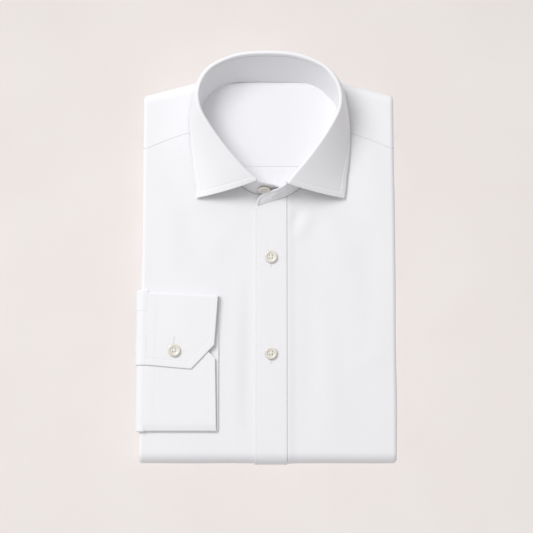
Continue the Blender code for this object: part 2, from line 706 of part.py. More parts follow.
def core_ring(y, bend, end, inset, wide=True, notch=False):
    """A section of the hidden layers. bend is how far it has turned over an end of the bundle, as an angle:
    end -1 is the bottom fold, 1 the shoulders, and 0 is in between."""
    side_inset = SIDE_TUCK + 2 * GAP if not wide else 0.0
    xs = [fold_start(-1, y) + side_inset, *CORE_XS, fold_start(1, y) - side_inset]

    def place(x, top_side):
        if not end:
            z = top_height(x, y) - inset if top_side else CORE_INSET + core_lift(x)
            return x, y, z
        radius = ridge_radius(x) if end > 0 else top_height(x, 0.0) / 2
        depth = inset if top_side else CORE_INSET + core_lift(x)
        begin = ridge_y(x) - radius if end > 0 else radius
        sign = 1 if top_side else -1
        reach = (radius - CORE_INNER_INSET - core_lift(0.0)) * math.sin(bend)
        return x, begin + end * reach, radius + sign * (radius - depth) * math.cos(bend)

    top = [place(x, True) for x in xs]
    bottom = [place(x, False) for x in xs[::-1]]
    sides = []
    for side, high, low in ((1, top[-1], bottom[0]), (-1, top[0], bottom[-1])):
        section = core_side(side, y, inset, notch and side < 0)
        if not wide:
            section = core_narrow_side(side, y, section, high[2], low[2], 1.0 if end else 0.1)
        sides.append([(x, high[1], z) for x, z in section])
    return top + sides[0] + bottom + sides[1][::-1]


def core_lift(x):
    return PLACKET_OUT if abs(x) <= LIFT_FULL else 0.0


def make_core(finish, collection):
    """The hidden layers as one solid: folded sides, sleeves and tail, showing as layers along both sides."""
    start = THICKNESS / 2
    low, high = SLEEVE_LOW_Y - CORE_STEP, SLEEVE_HIGH_Y + CORE_STEP
    inner = CORE_INNER_INSET
    shoulder = ridge_y(fold_start(1, RIDGE_Y)) - ridge_radius(0.0) - 2 * CORE_STEP
    rings = [core_ring(start, math.radians(a), -1, CORE_INSET, wide=False) for a in (70, 45, 20)]
    rings.append(core_ring(start + GAP, 0.0, 0, CORE_INSET, wide=False))
    rings.append(core_ring(start + CORE_STEP, 0.0, 0, CORE_INSET))
    rings.append(core_ring(low - CORE_STEP, 0.0, 0, CORE_INSET))
    rings.append(core_ring(low, 0.0, 0, CORE_INSET, notch=True))
    rings.append(core_ring(0.1, 0.0, 0, CORE_INSET, notch=True))
    rings.append(core_ring(high, 0.0, 0, CORE_INSET, notch=True))
    rings.append(core_ring(high + CORE_STEP, 0.0, 0, CORE_INSET))
    rings.append(core_ring(BACK_END_Y - 2 * CORE_STEP, 0.0, 0, CORE_INSET))
    rings.append(core_ring(BACK_END_Y - CORE_STEP, 0.0, 0, inner))
    rings.append(core_ring(SHOULDER_DROP_FROM, 0.0, 0, inner))
    rings.append(core_ring(lerp(SHOULDER_DROP_FROM, shoulder, 0.5), 0.0, 0, inner))
    rings.append(core_ring(shoulder, 0.0, 0, inner))
    rings.append(core_ring(shoulder + CORE_STEP, 0.0, 0, inner, wide=False))
    rings += [core_ring(RIDGE_Y, math.radians(a), 1, inner, wide=False) for a in (10, 30, 55, 75)]
    across_top = len(CORE_XS) + 2
    mesh = grid_mesh("folded_layers", rings, flip=True, ring=True, cap_width=across_top)
    return add_object("folded_layers", mesh, finish, collection)


# Buttons


def make_button_holes(name, collection):
    """Four round cutters through a button."""
    shape = bmesh.new()
    for corner in range(4):
        turn = math.radians(45 + 90 * corner)
        made = bmesh.ops.create_cone(
            shape,
            cap_ends=True,
            segments=8,
            radius1=BUTTON_HOLE_RADIUS,
            radius2=BUTTON_HOLE_RADIUS,
            depth=4 * BUTTON_THICKNESS,
        )
        spread = Vector((math.cos(turn), math.sin(turn), 0.0)) * BUTTON_HOLE_SPREAD * math.sqrt(2)
        bmesh.ops.translate(shape, verts=made["verts"], vec=spread)
    mesh = bpy.data.meshes.new(name)
    shape.to_mesh(mesh)
    shape.free()
    cutter = bpy.data.objects.new(name, mesh)
    cutter.hide_render = True
    cutter.display_type = "WIRE"
    collection.objects.link(cutter)
    return cutter


def make_button(name, location, normal, finish, collection, cutters):
    """A four-hole shirt button: a turned disc with a raised rim round a dished middle."""
    r, t = BUTTON_RADIUS, BUTTON_THICKNESS
    profile = (
        (0.0, 0.68 * t),
        (0.42 * r, 0.68 * t),
        (0.62 * r, 0.80 * t),
        (0.76 * r, t),
        (0.90 * r, 0.96 * t),
        (r, 0.66 * t),
        (0.97 * r, 0.38 * t),
        (0.72 * r, 0.0),
        (0.0, 0.0),
    )
    shape = bmesh.new()
    verts = [shape.verts.new((x, 0.0, z)) for x, z in profile]
    for a, b in zip(verts, verts[1:]):
        shape.edges.new((a, b))
    mesh = bpy.data.meshes.new(name)
    shape.to_mesh(mesh)
    shape.free()
    button = add_object(name, mesh, finish, collection)
    turned = button.modifiers.new("turned", "SCREW")
    turned.steps = turned.render_steps = 24
    turned.use_merge_vertices = True
    turned.merge_threshold = 0.00001
    button.location = location
    button.rotation_euler = Vector(normal).to_track_quat("Z", "Y").to_euler()
    holes = make_button_holes(name + "_holes", cutters)
    holes.location = button.location
    holes.rotation_euler = button.rotation_euler
    drilled = button.modifiers.new("drilled", "BOOLEAN")
    drilled.object = holes
    drilled.operation = "DIFFERENCE"
    return button


def collar_button_seat():
    """Where the collar button is sewn on the end of the stand that lies under, and the way it faces."""
    sections = stand_sections()
    stations = np.linspace(0, len(UNDER_END), 60)
    s = min(stations, key=lambda v: abs(along(sections, v)[0].x - COLLAR_BUTTON_X))
    neck, fold = along(sections, s)
    ahead = along(sections, s + 0.05)[0] - along(sections, s - 0.05)[0]
    normal = ahead.cross(fold - neck).normalized()
    if normal.y > 0:
        normal.negate()
    return neck.lerp(fold, COLLAR_BUTTON_UP) + normal * 2 * GAP, normal


def make_buttons(finish, collection, cutters):
    up = (0.0, 0.0, 1.0)
    for number, y in enumerate(FRONT_BUTTONS_Y, start=1):
        seat = (0.0, y, top_height(0.0, y) + PLACKET_OUT + GAP)
        make_button(f"button_front_{number}", seat, up, finish, collection, cutters)
    x, y = CUFF_BUTTON
    seat = (x, y, top_height(x, y) + CUFF_OVER_OUT + GAP)
    make_button("button_cuff", seat, up, finish, collection, cutters)
    seat, normal = collar_button_seat()
    make_button("button_collar", seat, normal, finish, collection, cutters)


def centre_on_origin(collection):
    """Moves the whole shirt so that the middle of its base is at the origin."""
    bpy.context.view_layer.update()
    graph = bpy.context.evaluated_depsgraph_get()
    corners = [
        made.evaluated_get(graph).matrix_world @ Vector(corner)
        for made in collection.objects
        for corner in made.evaluated_get(graph).bound_box
    ]
    low = [min(corner[axis] for corner in corners) for axis in range(3)]
    high = [max(corner[axis] for corner in corners) for axis in range(3)]
    frame = bpy.data.objects.new("shirt_frame", None)
    bpy.context.scene.collection.objects.link(frame)
    frame.location = (-(low[0] + high[0]) / 2, -(low[1] + high[1]) / 2, -low[2])
    for made in bpy.data.objects:
        if made is not frame:
            made.parent = frame


def main():
    for old in list(bpy.data.objects):
        bpy.data.objects.remove(old, do_unlink=True)
    shirt = new_collection("folded_dress_shirt")
    cutters = new_collection("cutters")
    cotton = material("white_cotton", WHITE, 0.8)
    collar_cotton = material("collar_cotton", WHITE, 0.75)
    shell = material("shell_button", SHELL_WHITE, 0.3)

    make_front("front_right", -1, RIGHT_FRONT_INNER, cotton, shirt)
    make_front("front_left", 1, LEFT_FRONT_INNER, cotton, shirt)
    make_placket(cotton, shirt)
    make_yoke(cotton, shirt)
    make_inner_yoke(cotton, shirt)
    make_back(cotton, shirt)
    make_core(cotton, shirt)
    make_collar_stand(collar_cotton, shirt)
    make_collar_leaf(collar_cotton, shirt)
    make_sleeve(cotton, shirt)
    make_sleeve_placket(cotton, shirt)
    make_cuff(collar_cotton, shirt)
    make_buttons(shell, shirt, cutters)
    centre_on_origin(shirt)


main()
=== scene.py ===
"""Looks for the folded dress shirt: its cloth, creases, sewing, buttons, materials, light and camera.

Metres, +Z up. Shapes are worked out in the shirt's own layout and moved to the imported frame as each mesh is
made. In that layout the placket's button line is at x = 0 and the bottom fold at y = 0.
"""

import math
from collections import namedtuple
from functools import lru_cache

import bmesh
import bpy
import numpy as np
from mathutils import Matrix, Vector

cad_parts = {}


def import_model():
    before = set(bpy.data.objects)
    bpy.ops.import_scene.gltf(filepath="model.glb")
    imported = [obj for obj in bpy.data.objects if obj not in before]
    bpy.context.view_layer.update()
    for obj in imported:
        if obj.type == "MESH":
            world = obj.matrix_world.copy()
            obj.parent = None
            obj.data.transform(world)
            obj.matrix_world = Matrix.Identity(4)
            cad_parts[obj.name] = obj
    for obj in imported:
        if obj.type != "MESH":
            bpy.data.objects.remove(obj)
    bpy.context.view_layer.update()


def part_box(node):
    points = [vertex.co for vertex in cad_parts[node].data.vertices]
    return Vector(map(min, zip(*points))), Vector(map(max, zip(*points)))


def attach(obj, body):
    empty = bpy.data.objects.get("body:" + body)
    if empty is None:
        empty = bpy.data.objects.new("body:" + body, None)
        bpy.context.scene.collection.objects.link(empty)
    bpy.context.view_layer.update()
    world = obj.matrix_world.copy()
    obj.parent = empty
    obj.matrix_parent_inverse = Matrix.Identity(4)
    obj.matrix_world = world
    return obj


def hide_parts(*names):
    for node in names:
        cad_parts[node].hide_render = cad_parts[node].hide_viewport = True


# Cloth
CLOTH = 0.0012
THIN_CLOTH = 0.0010
COLLAR_STAND_CLOTH = 0.0013
COLLAR_LEAF_CLOTH = 0.0015
CUFF_CLOTH = 0.0013
GAP = 0.0003
SEAM_GAP = 0.00005
SEAM_ROUNDING = 0.2
RIM_ROUNDING = 0.45
RIM_ANGLE = math.radians(50)
SHADING_WEIGHT = 80

# The folded body
THICKNESS = 0.0220
CROWN = 0.0012
CROWN_POWER = 2.5
SHOULDER_DROP = 0.0010
SHOULDER_DROP_FROM = 0.300
SHOULDER_DROP_OVER = 0.060
SIDE_FOLD = 0.0042
SIDE_TUCK = 0.0140
BODY_CENTRE = -0.0020
BODY_HALF_WIDTH = 0.1245
BodyEdge = namedtuple("BodyEdge", "y left right")
BODY_EDGES = (
    BodyEdge(0.000, -0.1285, 0.1222),
    BodyEdge(0.178, -0.1265, 0.1216),
    BodyEdge(0.256, -0.1255, 0.1212),
    BodyEdge(0.353, -0.1250, 0.1201),
)
RIDGE_Y = 0.3769
RIDGE_SLOPE = 0.265
RIDGE_FLAT_HALF = 0.0620
FLAP_END_Y = 0.3190
YOKE_END_Y = 0.3220

# Front edge and placket
PLACKET_LEFT = -0.0159
PLACKET_RIGHT = 0.0156
PLACKET_OUT = GAP + THIN_CLOTH
PLACKET_TOP = (0.2489, 0.2592)
RIGHT_FRONT_INNER = 0.0152
LEFT_FRONT_INNER = 0.0158
LIFT_FULL = 0.0175
LIFT_NONE = 0.0215
FOLD_RISE = 0.0009
FOLD_WIDTH = 0.0095
FRONT_BUTTONS_Y = (0.2002, 0.1062)

# Yoke seams and inner layers
SEAM_Y = 0.3252
SEAM_SLOPE = 0.25
SEAM_BEND = 2.15
INNER_SEAM_Y = 0.2896
BACK_END_Y = 0.2350
INNER_LEFT = -0.0760
INNER_RIGHT = 0.0730
INNER_OUT = -CLOTH - 2 * GAP
INNER_YOKE_ANGLE = math.radians(78)
YOKE_EDGE_RISE = 0.00025
YOKE_EDGE_WIDTH = 0.0030
LAYER_LOW_Y = 0.0030
LAYER_HIGH_Y = 0.3535
LAYER_INSET = 0.0110
LAYER_OUT = 0.0012
LAYER_ROUND = math.radians(80)
LAYER_EASE = 0.0030
LAYERS = {"folded_layer_lower": (0.0089, 0.0108), "folded_layer_upper": (0.0111, 0.0130)}

# The collar
NECK_HALF = 0.0695
COLLAR_CENTRE_FRONT = 0.0009
COLLAR_FRONT_Y = 0.275
COLLAR_LEAN = -0.0370
CollarSection = namedtuple(
    "CollarSection", "neck_x neck_y fold_x fold_y fold_z edge_x edge_y edge_z"
)
COLLAR_SECTIONS = (
    CollarSection(0.0000, 0.3760, 0.0000, 0.3978, 0.0500, 0.0000, 0.3885, 0.0080),
    CollarSection(0.0200, 0.3758, 0.0200, 0.3968, 0.0502, 0.0220, 0.3880, 0.0085),
    CollarSection(0.0360, 0.3742, 0.0370, 0.3928, 0.0508, 0.0425, 0.3845, 0.0110),
    CollarSection(0.0515, 0.3678, 0.0545, 0.3840, 0.0520, 0.0615, 0.3780, 0.0170),
    CollarSection(0.0640, 0.3550, 0.0645, 0.3720, 0.0533, 0.0714, 0.3665, 0.0226),
    CollarSection(0.0688, 0.3420, 0.0692, 0.3572, 0.0540, 0.0760, 0.3480, 0.0234),
    CollarSection(0.0697, 0.3280, 0.0673, 0.3420, 0.0540, 0.0784, 0.3290, 0.0238),
    CollarSection(0.0665, 0.3110, 0.0588, 0.3260, 0.0530, 0.0779, 0.3110, 0.0240),
    CollarSection(0.0585, 0.2950, 0.0475, 0.3095, 0.0515, 0.0766, 0.2940, 0.0240),
    CollarSection(0.0450, 0.2805, 0.0350, 0.2935, 0.0498, 0.0752, 0.2780, 0.0240),
    CollarSection(0.0290, 0.2685, 0.0240, 0.2810, 0.0482, 0.0740, 0.2660, 0.0241),
)
LEFT_CORNER = CollarSection(-0.0160, 0.2623, -0.0141, 0.2730, 0.0468, -0.0733, 0.2578, 0.0242)
RIGHT_CORNER = CollarSection(0.0167, 0.2598, 0.0157, 0.2699, 0.0472, 0.0716, 0.2575, 0.0242)
StandSection = namedtuple("StandSection", "neck_x neck_y fold_x fold_y fold_z")
UNDER_END = (
    StandSection(-0.0060, 0.2622, -0.0052, 0.2702, 0.0425),
    StandSection(0.0030, 0.2610, 0.0030, 0.2693, 0.0385),
    StandSection(0.0090, 0.2612, 0.0092, 0.2669, 0.0362),
    StandSection(0.0125, 0.2611, 0.0128, 0.2643, 0.0310),
)
OVER_END = (
    StandSection(0.0080, 0.2563, 0.0070, 0.2660, 0.0386),
    StandSection(-0.0010, 0.2528, -0.0010, 0.2641, 0.0314),
    StandSection(-0.0080, 0.2508, -0.0088, 0.2611, 0.0281),
    StandSection(-0.0120, 0.2499, -0.0125, 0.2573, 0.0262),
    StandSection(-0.0144, 0.2495, -0.0146, 0.2522, 0.0246),
)
RIGHT_EDGE_IN = 0.0023
RIGHT_EDGE_IN_FROM = 0.3050
RIGHT_EDGE_IN_OVER = 0.0380
STAND_SETBACK = 0.0003
STAND_SINK = 0.0026
BAND_BULGE = 0.0011
BAND_BORDER_SHARE = 0.3
BAND_ROLL = 0.0009
BAND_ROLL_WIDTH = 0.0013
BAND_BASE_LINE = 0.0034
LEAF_HALF_FOLD = 0.0017
STAND_SEAM_GAP = 0.0008
STAND_BELOW_FOLD = 0.0047
LEAF_ROLL_DEPTH = 0.0042
LEAF_BULGE = 0.0015
LEAF_MARGIN = 0.04
LEAF_FINE = 0.0085

# The sleeve and its cuff
SLEEVE_LOW_Y = 0.0300
SLEEVE_HIGH_Y = 0.1677
SLEEVE_HEIGHT = 0.0026
SLEEVE_ROUND = 0.0012
SLEEVE_TUCK = 0.0080
SLEEVE_END = 0.0040
PLEAT_Y = 0.1477
PLEAT_STEP = 0.0007
PLEAT_AT_SEAM = 0.35
SMALL_PLEAT_Y = 0.0553
SMALL_PLEAT_STEP = 0.0003
LAP_STEP = 0.0012
SLEEVE_SEAM_DROP = 0.0003
SLEEVE_PLACKET_Y = (0.0948, 0.1243)
SLEEVE_PLACKET_CLOTH = 0.0010
SLEEVE_PLACKET_SINK = 0.0009
SLEEVE_PLACKET_BORDER = 0.4
SLEEVE_PLACKET_ANGLE = math.radians(100)
CUFF_SEAM_LOW = -0.1231
CUFF_SEAM_HIGH = -0.1193
CUFF_SEAM_MIDDLE_Y = 0.095
CUFF_LOW_Y = 0.0306
CUFF_HIGH_Y = 0.1664
CUFF_HIGH_SLOPE = -0.0035
CUFF_HEM_BACK = -0.0509
CUFF_HEM_UNDER = (-0.0532, -0.0542)
CUFF_HEM_OVER = (-0.0551, -0.0517)
CUFF_UNDER_OUT = 0.0045
CUFF_OVER_OUT = 0.0061
CUFF_OVER_END_Y = (0.0950, 0.0909)
CUFF_OVER_MITRE_Y = 0.1143
CUFF_UNDER_END_Y = 0.1245
CUFF_UNDER_MITRE_Y = 0.1011
CUFF_MITRE_X = -0.0775
CUFF_FINE = 0.0090
CUFF_FOLD_DROP = 0.0014
CUFF_FOLD_REACH = 0.0085
CUFF_LOW_RADIUS = 0.0021

# Creases in the cloth's face: a soft ridge (height above 0) or trough along each line
Crease = namedtuple("Crease", "x0 y0 x1 y1 width height")
CREASES = (
    Crease(-0.023, 0.005, -0.021, 0.205, 0.0055, -0.00030),
    Crease(-0.036, 0.010, -0.033, 0.190, 0.0070, 0.00032),
    Crease(-0.066, 0.190, -0.030, 0.245, 0.0100, 0.00025),
    Crease(-0.112, 0.300, -0.070, 0.215, 0.0090, -0.00022),
    Crease(-0.100, 0.265, -0.092, 0.185, 0.0120, 0.00030),
    Crease(0.024, 0.215, 0.042, 0.248, 0.0060, 0.00045),
    Crease(0.019, 0.225, 0.030, 0.252, 0.0040, -0.00030),
    Crease(0.048, 0.235, 0.082, 0.190, 0.0110, 0.00028),
    Crease(0.036, 0.030, 0.040, 0.200, 0.0090, -0.00025),
    Crease(0.062, 0.020, 0.055, 0.150, 0.0100, 0.00030),
    Crease(0.090, 0.060, 0.098, 0.240, 0.0110, -0.00024),
    Crease(0.075, 0.090, 0.112, 0.110, 0.0080, 0.00018),
    Crease(-0.105, 0.330, -0.085, 0.290, 0.0080, 0.00025),
    Crease(0.085, 0.345, 0.105, 0.280, 0.0090, 0.00025),
)
CREASE_DEPTH = 1.8
SWELL = 0.00034
SWELL_SEED = 11
SWELL_COUNT = 7
SWELL_ACROSS = (0.035, 0.085)
SWELL_ALONG = (0.090, 0.220)
SWELL_PHASE = 6.28
SWELL_SHARES = (0.4, 1.0)

# Puckers round each sewn button, as the middle of the button
Spot = namedtuple("Spot", "x y")
BUTTON_SPOTS = (Spot(0.0, 0.2002), Spot(0.0, 0.1062), Spot(-0.0938, 0.1087))
SPOT_SINK = 0.00022
SPOT_RADIUS = 0.0055
SPOT_REACH = 5 * SPOT_RADIUS
SPOT_RAYS = 0.00009
SPOT_RAY_RADIUS = 0.0095
SPOT_RAY_WIDTH = 0.0040
SPOT_RAY_COUNT = 5
SPOT_RAY_TWIST = 40

# Sewing
THREAD = 0.00034
STITCH_PITCH = 0.0023
STITCH_LENGTH = 0.0017
STITCH_WIDTH = 0.0006
STITCH_SINK = 0.00020
STITCH_SHARES = np.array((0.0, 0.12, 0.5, 0.88, 1.0))
STITCH_LIFTS = np.array((-0.35, 0.10, 0.32, 0.10, -0.35))
STITCH_GIRTHS = np.array((0.55, 0.95, 1.0, 0.95, 0.55))
BORDER_RISE = 0.00020
BORDER_EDGE = 0.0012
PUCKER = 0.00005
PUCKER_LENGTH = 0.0063
PUCKER_WIDTH = 0.0030
EDGE_LINE = 0.0016
LEAF_LINE = 0.0058
BAND_LINE = 0.0045
CUFF_LINE = 0.0066
CUFF_SEAM_LINE = 0.0085
CUFF_BORDER_SHARE = 0.6
CUFF_SEAM_SHARE = 0.25
PLACKET_BORDER_SHARE = 0.5
SATIN_THREAD = 0.00024
SATIN_PITCH = 0.00034
SATIN_REACH = 0.0009
BAR_STITCHES = 4
SLIT_HALF = 0.00012
PLACKET_SLIT = (0.0045, -0.0090)
CUFF_SLIT = (0.0129, -0.0030)
BAND_SLIT_X = (0.0100, 0.0020)

# Buttons
BUTTON_RADIUS = 0.0061
BUTTON_THICKNESS = 0.0023
BUTTON_HOLE_RADIUS = 0.00062
BUTTON_HOLE_SPREAD = 0.00125
BUTTON_THREAD = 0.00045
BUTTON_THREAD_SPREAD = 0.7
BUTTON_THREAD_UP = 0.70
COLLAR_BUTTON_X = -0.0073
COLLAR_BUTTON_UP = 0.47
BUTTON_PROFILE = (
    (0.00, 0.70),
    (0.28, 0.67),
    (0.42, 0.64),
    (0.52, 0.66),
    (0.59, 0.76),
    (0.65, 0.90),
    (0.72, 0.98),
    (0.81, 1.00),
    (0.89, 0.97),
    (0.95, 0.87),
    (0.99, 0.72),
    (1.00, 0.57),
    (0.985, 0.42),
    (0.93, 0.24),
    (0.84, 0.10),
    (0.72, 0.00),
    (0.00, 0.00),
)
BUTTON_SIDES = 48
BUTTON_HOLE_SIDES = 16
BUTTON_SHARP = math.radians(40)

# Spacing of the grids' rows and columns
FINE = 0.00035
EDGE_STEP = 0.0004
EDGE_BAND = 0.0030
EDGE_COLUMN = EDGE_LINE / EDGE_STEP
TOP_STEP = 0.0005
TOP_BAND = 0.0050
FACE_ROWS = 110
BEND_ROWS = 21
UNDERSIDE_ROWS = 39
YOKE_ROWS = 36
YOKE_FLAT_END = 0.1165
YOKE_MARGIN = 0.0010
YOKE_FACE_ANGLE = math.radians(70)
YOKE_TUCKS = (0.0070, SIDE_TUCK)
FRONT_TUCKS = (0.0040, 0.0090, SIDE_TUCK)
RIGHT_FLAT_END = -0.1180
LEFT_FLAT_END = 0.1145
LEFT_INNER_COLUMNS = 10
LEFT_INNER_STEP = 0.0006
SLEEVE_TUCKS = (0.0030, SLEEVE_TUCK)
STATION_STEP = 0.05
STAND_UNDER_ROWS = 40
STAND_NECK_ROWS = 150
STAND_OVER_ROWS = 70
STAND_COLUMNS = 56
LEAF_INSIDE_SHARES = (1.0, 0.66, 0.33)
LEAF_ROLL_POINTS = 13
LEAF_TOP = len(LEAF_INSIDE_SHARES) + LEAF_ROLL_POINTS // 2
LEAF_END_STEP = 0.035
LEAF_END_ROWS = 60
CUFF_FACE_ROWS = 80
CUFF_END_ROWS = 24
CUFF_END_STEP = 0.005
CUFF_END_SHARE = 0.12

# Looks
YARN = 0.00034
COTTON_SHEEN = 0.12
WEAVE_SHARE = 0.6
WEAVE_STRENGTH = 0.30
WEAVE_DEPTH = 0.00006
SLUB_STRETCH = 14.0
SLUB_SCALE = 60.0
SHADE = 0.985
COTTON_COLOUR = (0.845, 0.845, 0.872)
INTERLINED_COLOUR = (0.855, 0.855, 0.880)
THREAD_COLOURS = ((0.80, 0.80, 0.82), (0.88, 0.88, 0.89))
PEARL_COLOURS = ((0.71, 0.665, 0.58), (0.81, 0.78, 0.715))
FLOOR_COLOURS = ((0.792, 0.747, 0.727), (0.812, 0.769, 0.750))

# The photograph's view
TARGET = (-0.00439, 0.1911, 0.020)
VIEW_ELEVATION = math.radians(84)
VIEW_DISTANCE = 2.2
SENSOR = 36.0
FOCAL = 152.4

# Light
Light = namedtuple("Light", "place size power")
KEY = Light((-1.80, 1.66, 2.88), 1.8, 94)
FLOOR_KEY = Light((-0.15, -0.05, 1.5), 1.0, 12.8)
FLOOR_SIZE = 6.0
WORLD_STRENGTH = 0.565
WORLD_COLOUR = (1.0, 0.99, 0.985, 1.0)

# Where a grid's column lies: its x on the flat, its turn round the side fold and its tuck in under that
Column = namedtuple("Column", "x turn tuck", defaults=(0.0, 0.0))
FIRST_TURN = math.radians(1)
FINE_TURNS = tuple(math.radians(a) for a in range(10, 181, 10))

# Helpers' values
UP = (0.0, 0.0, 1.0)
TINY = 1e-12
JUST_OVER_ONE = 1.0001


def smooth(t):
    t = min(max(t, 0.0), 1.0)
    return t * t * (3 - 2 * t)


def lerp(a, b, t):
    return a + (b - a) * t


# Creases


def make_swells():
    """Long shallow waves, as (x and y wave numbers, phase, share)."""
    rng = np.random.default_rng(SWELL_SEED)
    swells = []
    for _ in range(SWELL_COUNT):
        across = 2 * math.pi / rng.uniform(*SWELL_ACROSS)
        along = 2 * math.pi / rng.uniform(*SWELL_ALONG)
        along *= rng.choice((-1, 1))
        swells.append((across, along, rng.uniform(0, SWELL_PHASE), rng.uniform(*SWELL_SHARES)))
    return swells


SWELLS = make_swells()


def relief(x, y):
    """Height of the creases at a point of the face, the same for each layer that lies there."""
    total = 0.0
    for kx, ky, phase, share in SWELLS:
        total += share * math.sin(kx * x + ky * y + phase)
    total *= SWELL / math.sqrt(SWELL_COUNT)
    for c in CREASES:
        dx, dy = c.x1 - c.x0, c.y1 - c.y0
        size = dx * dx + dy * dy
        t = ((x - c.x0) * dx + (y - c.y0) * dy) / size
        if 0.0 < t < 1.0:
            off = ((x - c.x0) * dy - (y - c.y0) * dx) / math.sqrt(size) / c.width
            total += CREASE_DEPTH * c.height * math.sin(math.pi * t) * math.exp(-off * off)
    for spot in BUTTON_SPOTS:
        away = math.hypot(x - spot.x, y - spot.y)
        if away < SPOT_REACH:
            total -= SPOT_SINK * math.exp(-((away / SPOT_RADIUS) ** 2))
            ring = math.exp(-(((away - SPOT_RAY_RADIUS) / SPOT_RAY_WIDTH) ** 2))
            turn = SPOT_RAY_COUNT * math.atan2(y - spot.y, x - spot.x) + SPOT_RAY_TWIST * (spot.y - x)
            total += SPOT_RAYS * ring * math.sin(turn)
    return total


# The shape of the folded bundle


def face_z(x, y, out):
    """Height of a flat layer's face, out above the bundle's, with its creases."""
    return top_height(x, y) + out + relief(x, y)


def edge_x(side, y):
    edge = "left" if side < 0 else "right"
    return float(np.interp(y, [row.y for row in BODY_EDGES], [getattr(row, edge) for row in BODY_EDGES]))


def fold_start(side, y):
    return edge_x(side, y) - side * SIDE_FOLD


def top_height(x, y):
    share = min(abs(x - BODY_CENTRE) / BODY_HALF_WIDTH, 1.0)
    shoulder = smooth((y - SHOULDER_DROP_FROM) / SHOULDER_DROP_OVER)
    return THICKNESS - CROWN * share**CROWN_POWER - SHOULDER_DROP * shoulder


def ridge_y(x):
    return RIDGE_Y - RIDGE_SLOPE * max(0.0, abs(x - BODY_CENTRE) - RIDGE_FLAT_HALF)


def ridge_radius(x):
    return top_height(x, RIDGE_Y) / 2


def wrap(p, radius, rise):
    """Bends a layer round one end of the bundle: p past the bend's start, rise above the outer face."""
    if p <= 0:
        return p, 2 * radius + rise
    if p < math.pi * radius:
        angle = p / radius
        return (radius + rise) * math.sin(angle), radius + (radius + rise) * math.cos(angle)
    return math.pi * radius - p, -rise


def across(side, column, y, out):
    """A point of the cross-section at y: its x, the flat top's x there, and its rise above the top."""
    if not column.turn:
        return column.x, column.x, out
    start = fold_start(side, y)
    radius = SIDE_FOLD + out
    if column.tuck:
        return start - side * column.tuck, start, -2 * SIDE_FOLD - out
    rise = radius * math.cos(column.turn) - SIDE_FOLD
    return start + side * radius * math.sin(column.turn), start, rise


def unrolled_x(side, column, y):
    """The cloth's own coordinate across: x on the flat, and on round the side fold."""
    if not column.turn:
        return column.x
    return fold_start(side, y) + side * (SIDE_FOLD * column.turn + column.tuck)


def tail_lift(x):
    return PLACKET_OUT * min(max((LIFT_NONE - abs(x)) / (LIFT_NONE - LIFT_FULL), 0.0), 1.0)


def underside_fade(p, bend):
    """1 on the face, falling to 0 as the cloth turns under, so that it lies flat there."""
    return 1.0 - smooth(p / bend)


def bent_point(side, column, p, out, radius, start, way):
    """A point of a layer that bends round an end of the bundle, p past the bend's start, with its creases."""
    bend = math.pi * radius
    unrolled_y = start + way * p
    y = start + way * (min(p, 0.0) - max(p - bend, 0.0))
    out += relief(unrolled_x(side, column, y), unrolled_y) * underside_fade(p, bend)
    x, level_x, rise = across(side, column, y, out)
    past, z = wrap(p, radius, rise)
    if p <= 0:
        z = top_height(level_x, unrolled_y) + rise
    return x, start + way * past, z


def tail_point(side, column, p, out):
    """A point on the fronts, p past the start of the bottom fold."""
    radius = top_height(column.x, 0.0) / 2
    x, y, z = bent_point(side, column, p, out, radius, radius, -1)
    return x, y, z + tail_lift(x) * min(max(p / (math.pi * radius), 0.0), 1.0)


def ridge_point(side, column, p, out):
    """A point on the yoke, p past the start of the bend over the shoulders."""
    radius = ridge_radius(column.x)
    return bent_point(side, column, p, out, radius, ridge_y(column.x) - radius, 1)


def surface_z(x, y):
    """Height of the fronts' and yoke's face at a point seen from above, creases and all."""
    radius = ridge_radius(x)
    start = ridge_y(x) - radius
    if y <= start:
        return top_height(x, y) + relief(x, y)
    return radius * (1 + math.sqrt(max(0.0, 1 - ((y - start) / radius) ** 2)))


# The neck and the collar


def collar_centre(y):
    return COLLAR_CENTRE_FRONT + COLLAR_LEAN * (y - COLLAR_FRONT_Y)


def place_section(section, side):
    leaf_x = section.edge_x
    if side > 0:
        leaf_x -= RIGHT_EDGE_IN * smooth((RIGHT_EDGE_IN_FROM - section.edge_y) / RIGHT_EDGE_IN_OVER)
    neck = (collar_centre(section.neck_y) + side * section.neck_x, section.neck_y)
    return (
        Vector((*neck, surface_z(*neck) + STAND_SEAM_GAP)),
        Vector((collar_centre(section.fold_y) + side * section.fold_x, section.fold_y, section.fold_z)),
        Vector((collar_centre(section.edge_y) + side * leaf_x, section.edge_y, section.edge_z)),
    )


def corner_section(section, on_placket):
    raised = PLACKET_OUT if on_placket else 0.0
    neck = (section.neck_x, section.neck_y)
    points = [
        Vector((*neck, surface_z(*neck) + STAND_SEAM_GAP + raised)),
        Vector((section.fold_x, section.fold_y, section.fold_z)),
    ]
    if hasattr(section, "edge_x"):
        points.append(Vector((section.edge_x, section.edge_y, section.edge_z)))
    return tuple(points)


@lru_cache(maxsize=None)
def leaf_sections():
    left = [place_section(s, -1) for s in COLLAR_SECTIONS[::-1]]
    right = [place_section(s, 1) for s in COLLAR_SECTIONS[1:]]
    return [corner_section(LEFT_CORNER, False), *left, *right, corner_section(RIGHT_CORNER, True)]


@lru_cache(maxsize=None)
def stand_sections():
    under = [corner_section(s, False) for s in UNDER_END[::-1]]
    over = [corner_section(s, True) for s in OVER_END]
    return under + [section[:2] for section in leaf_sections()] + over


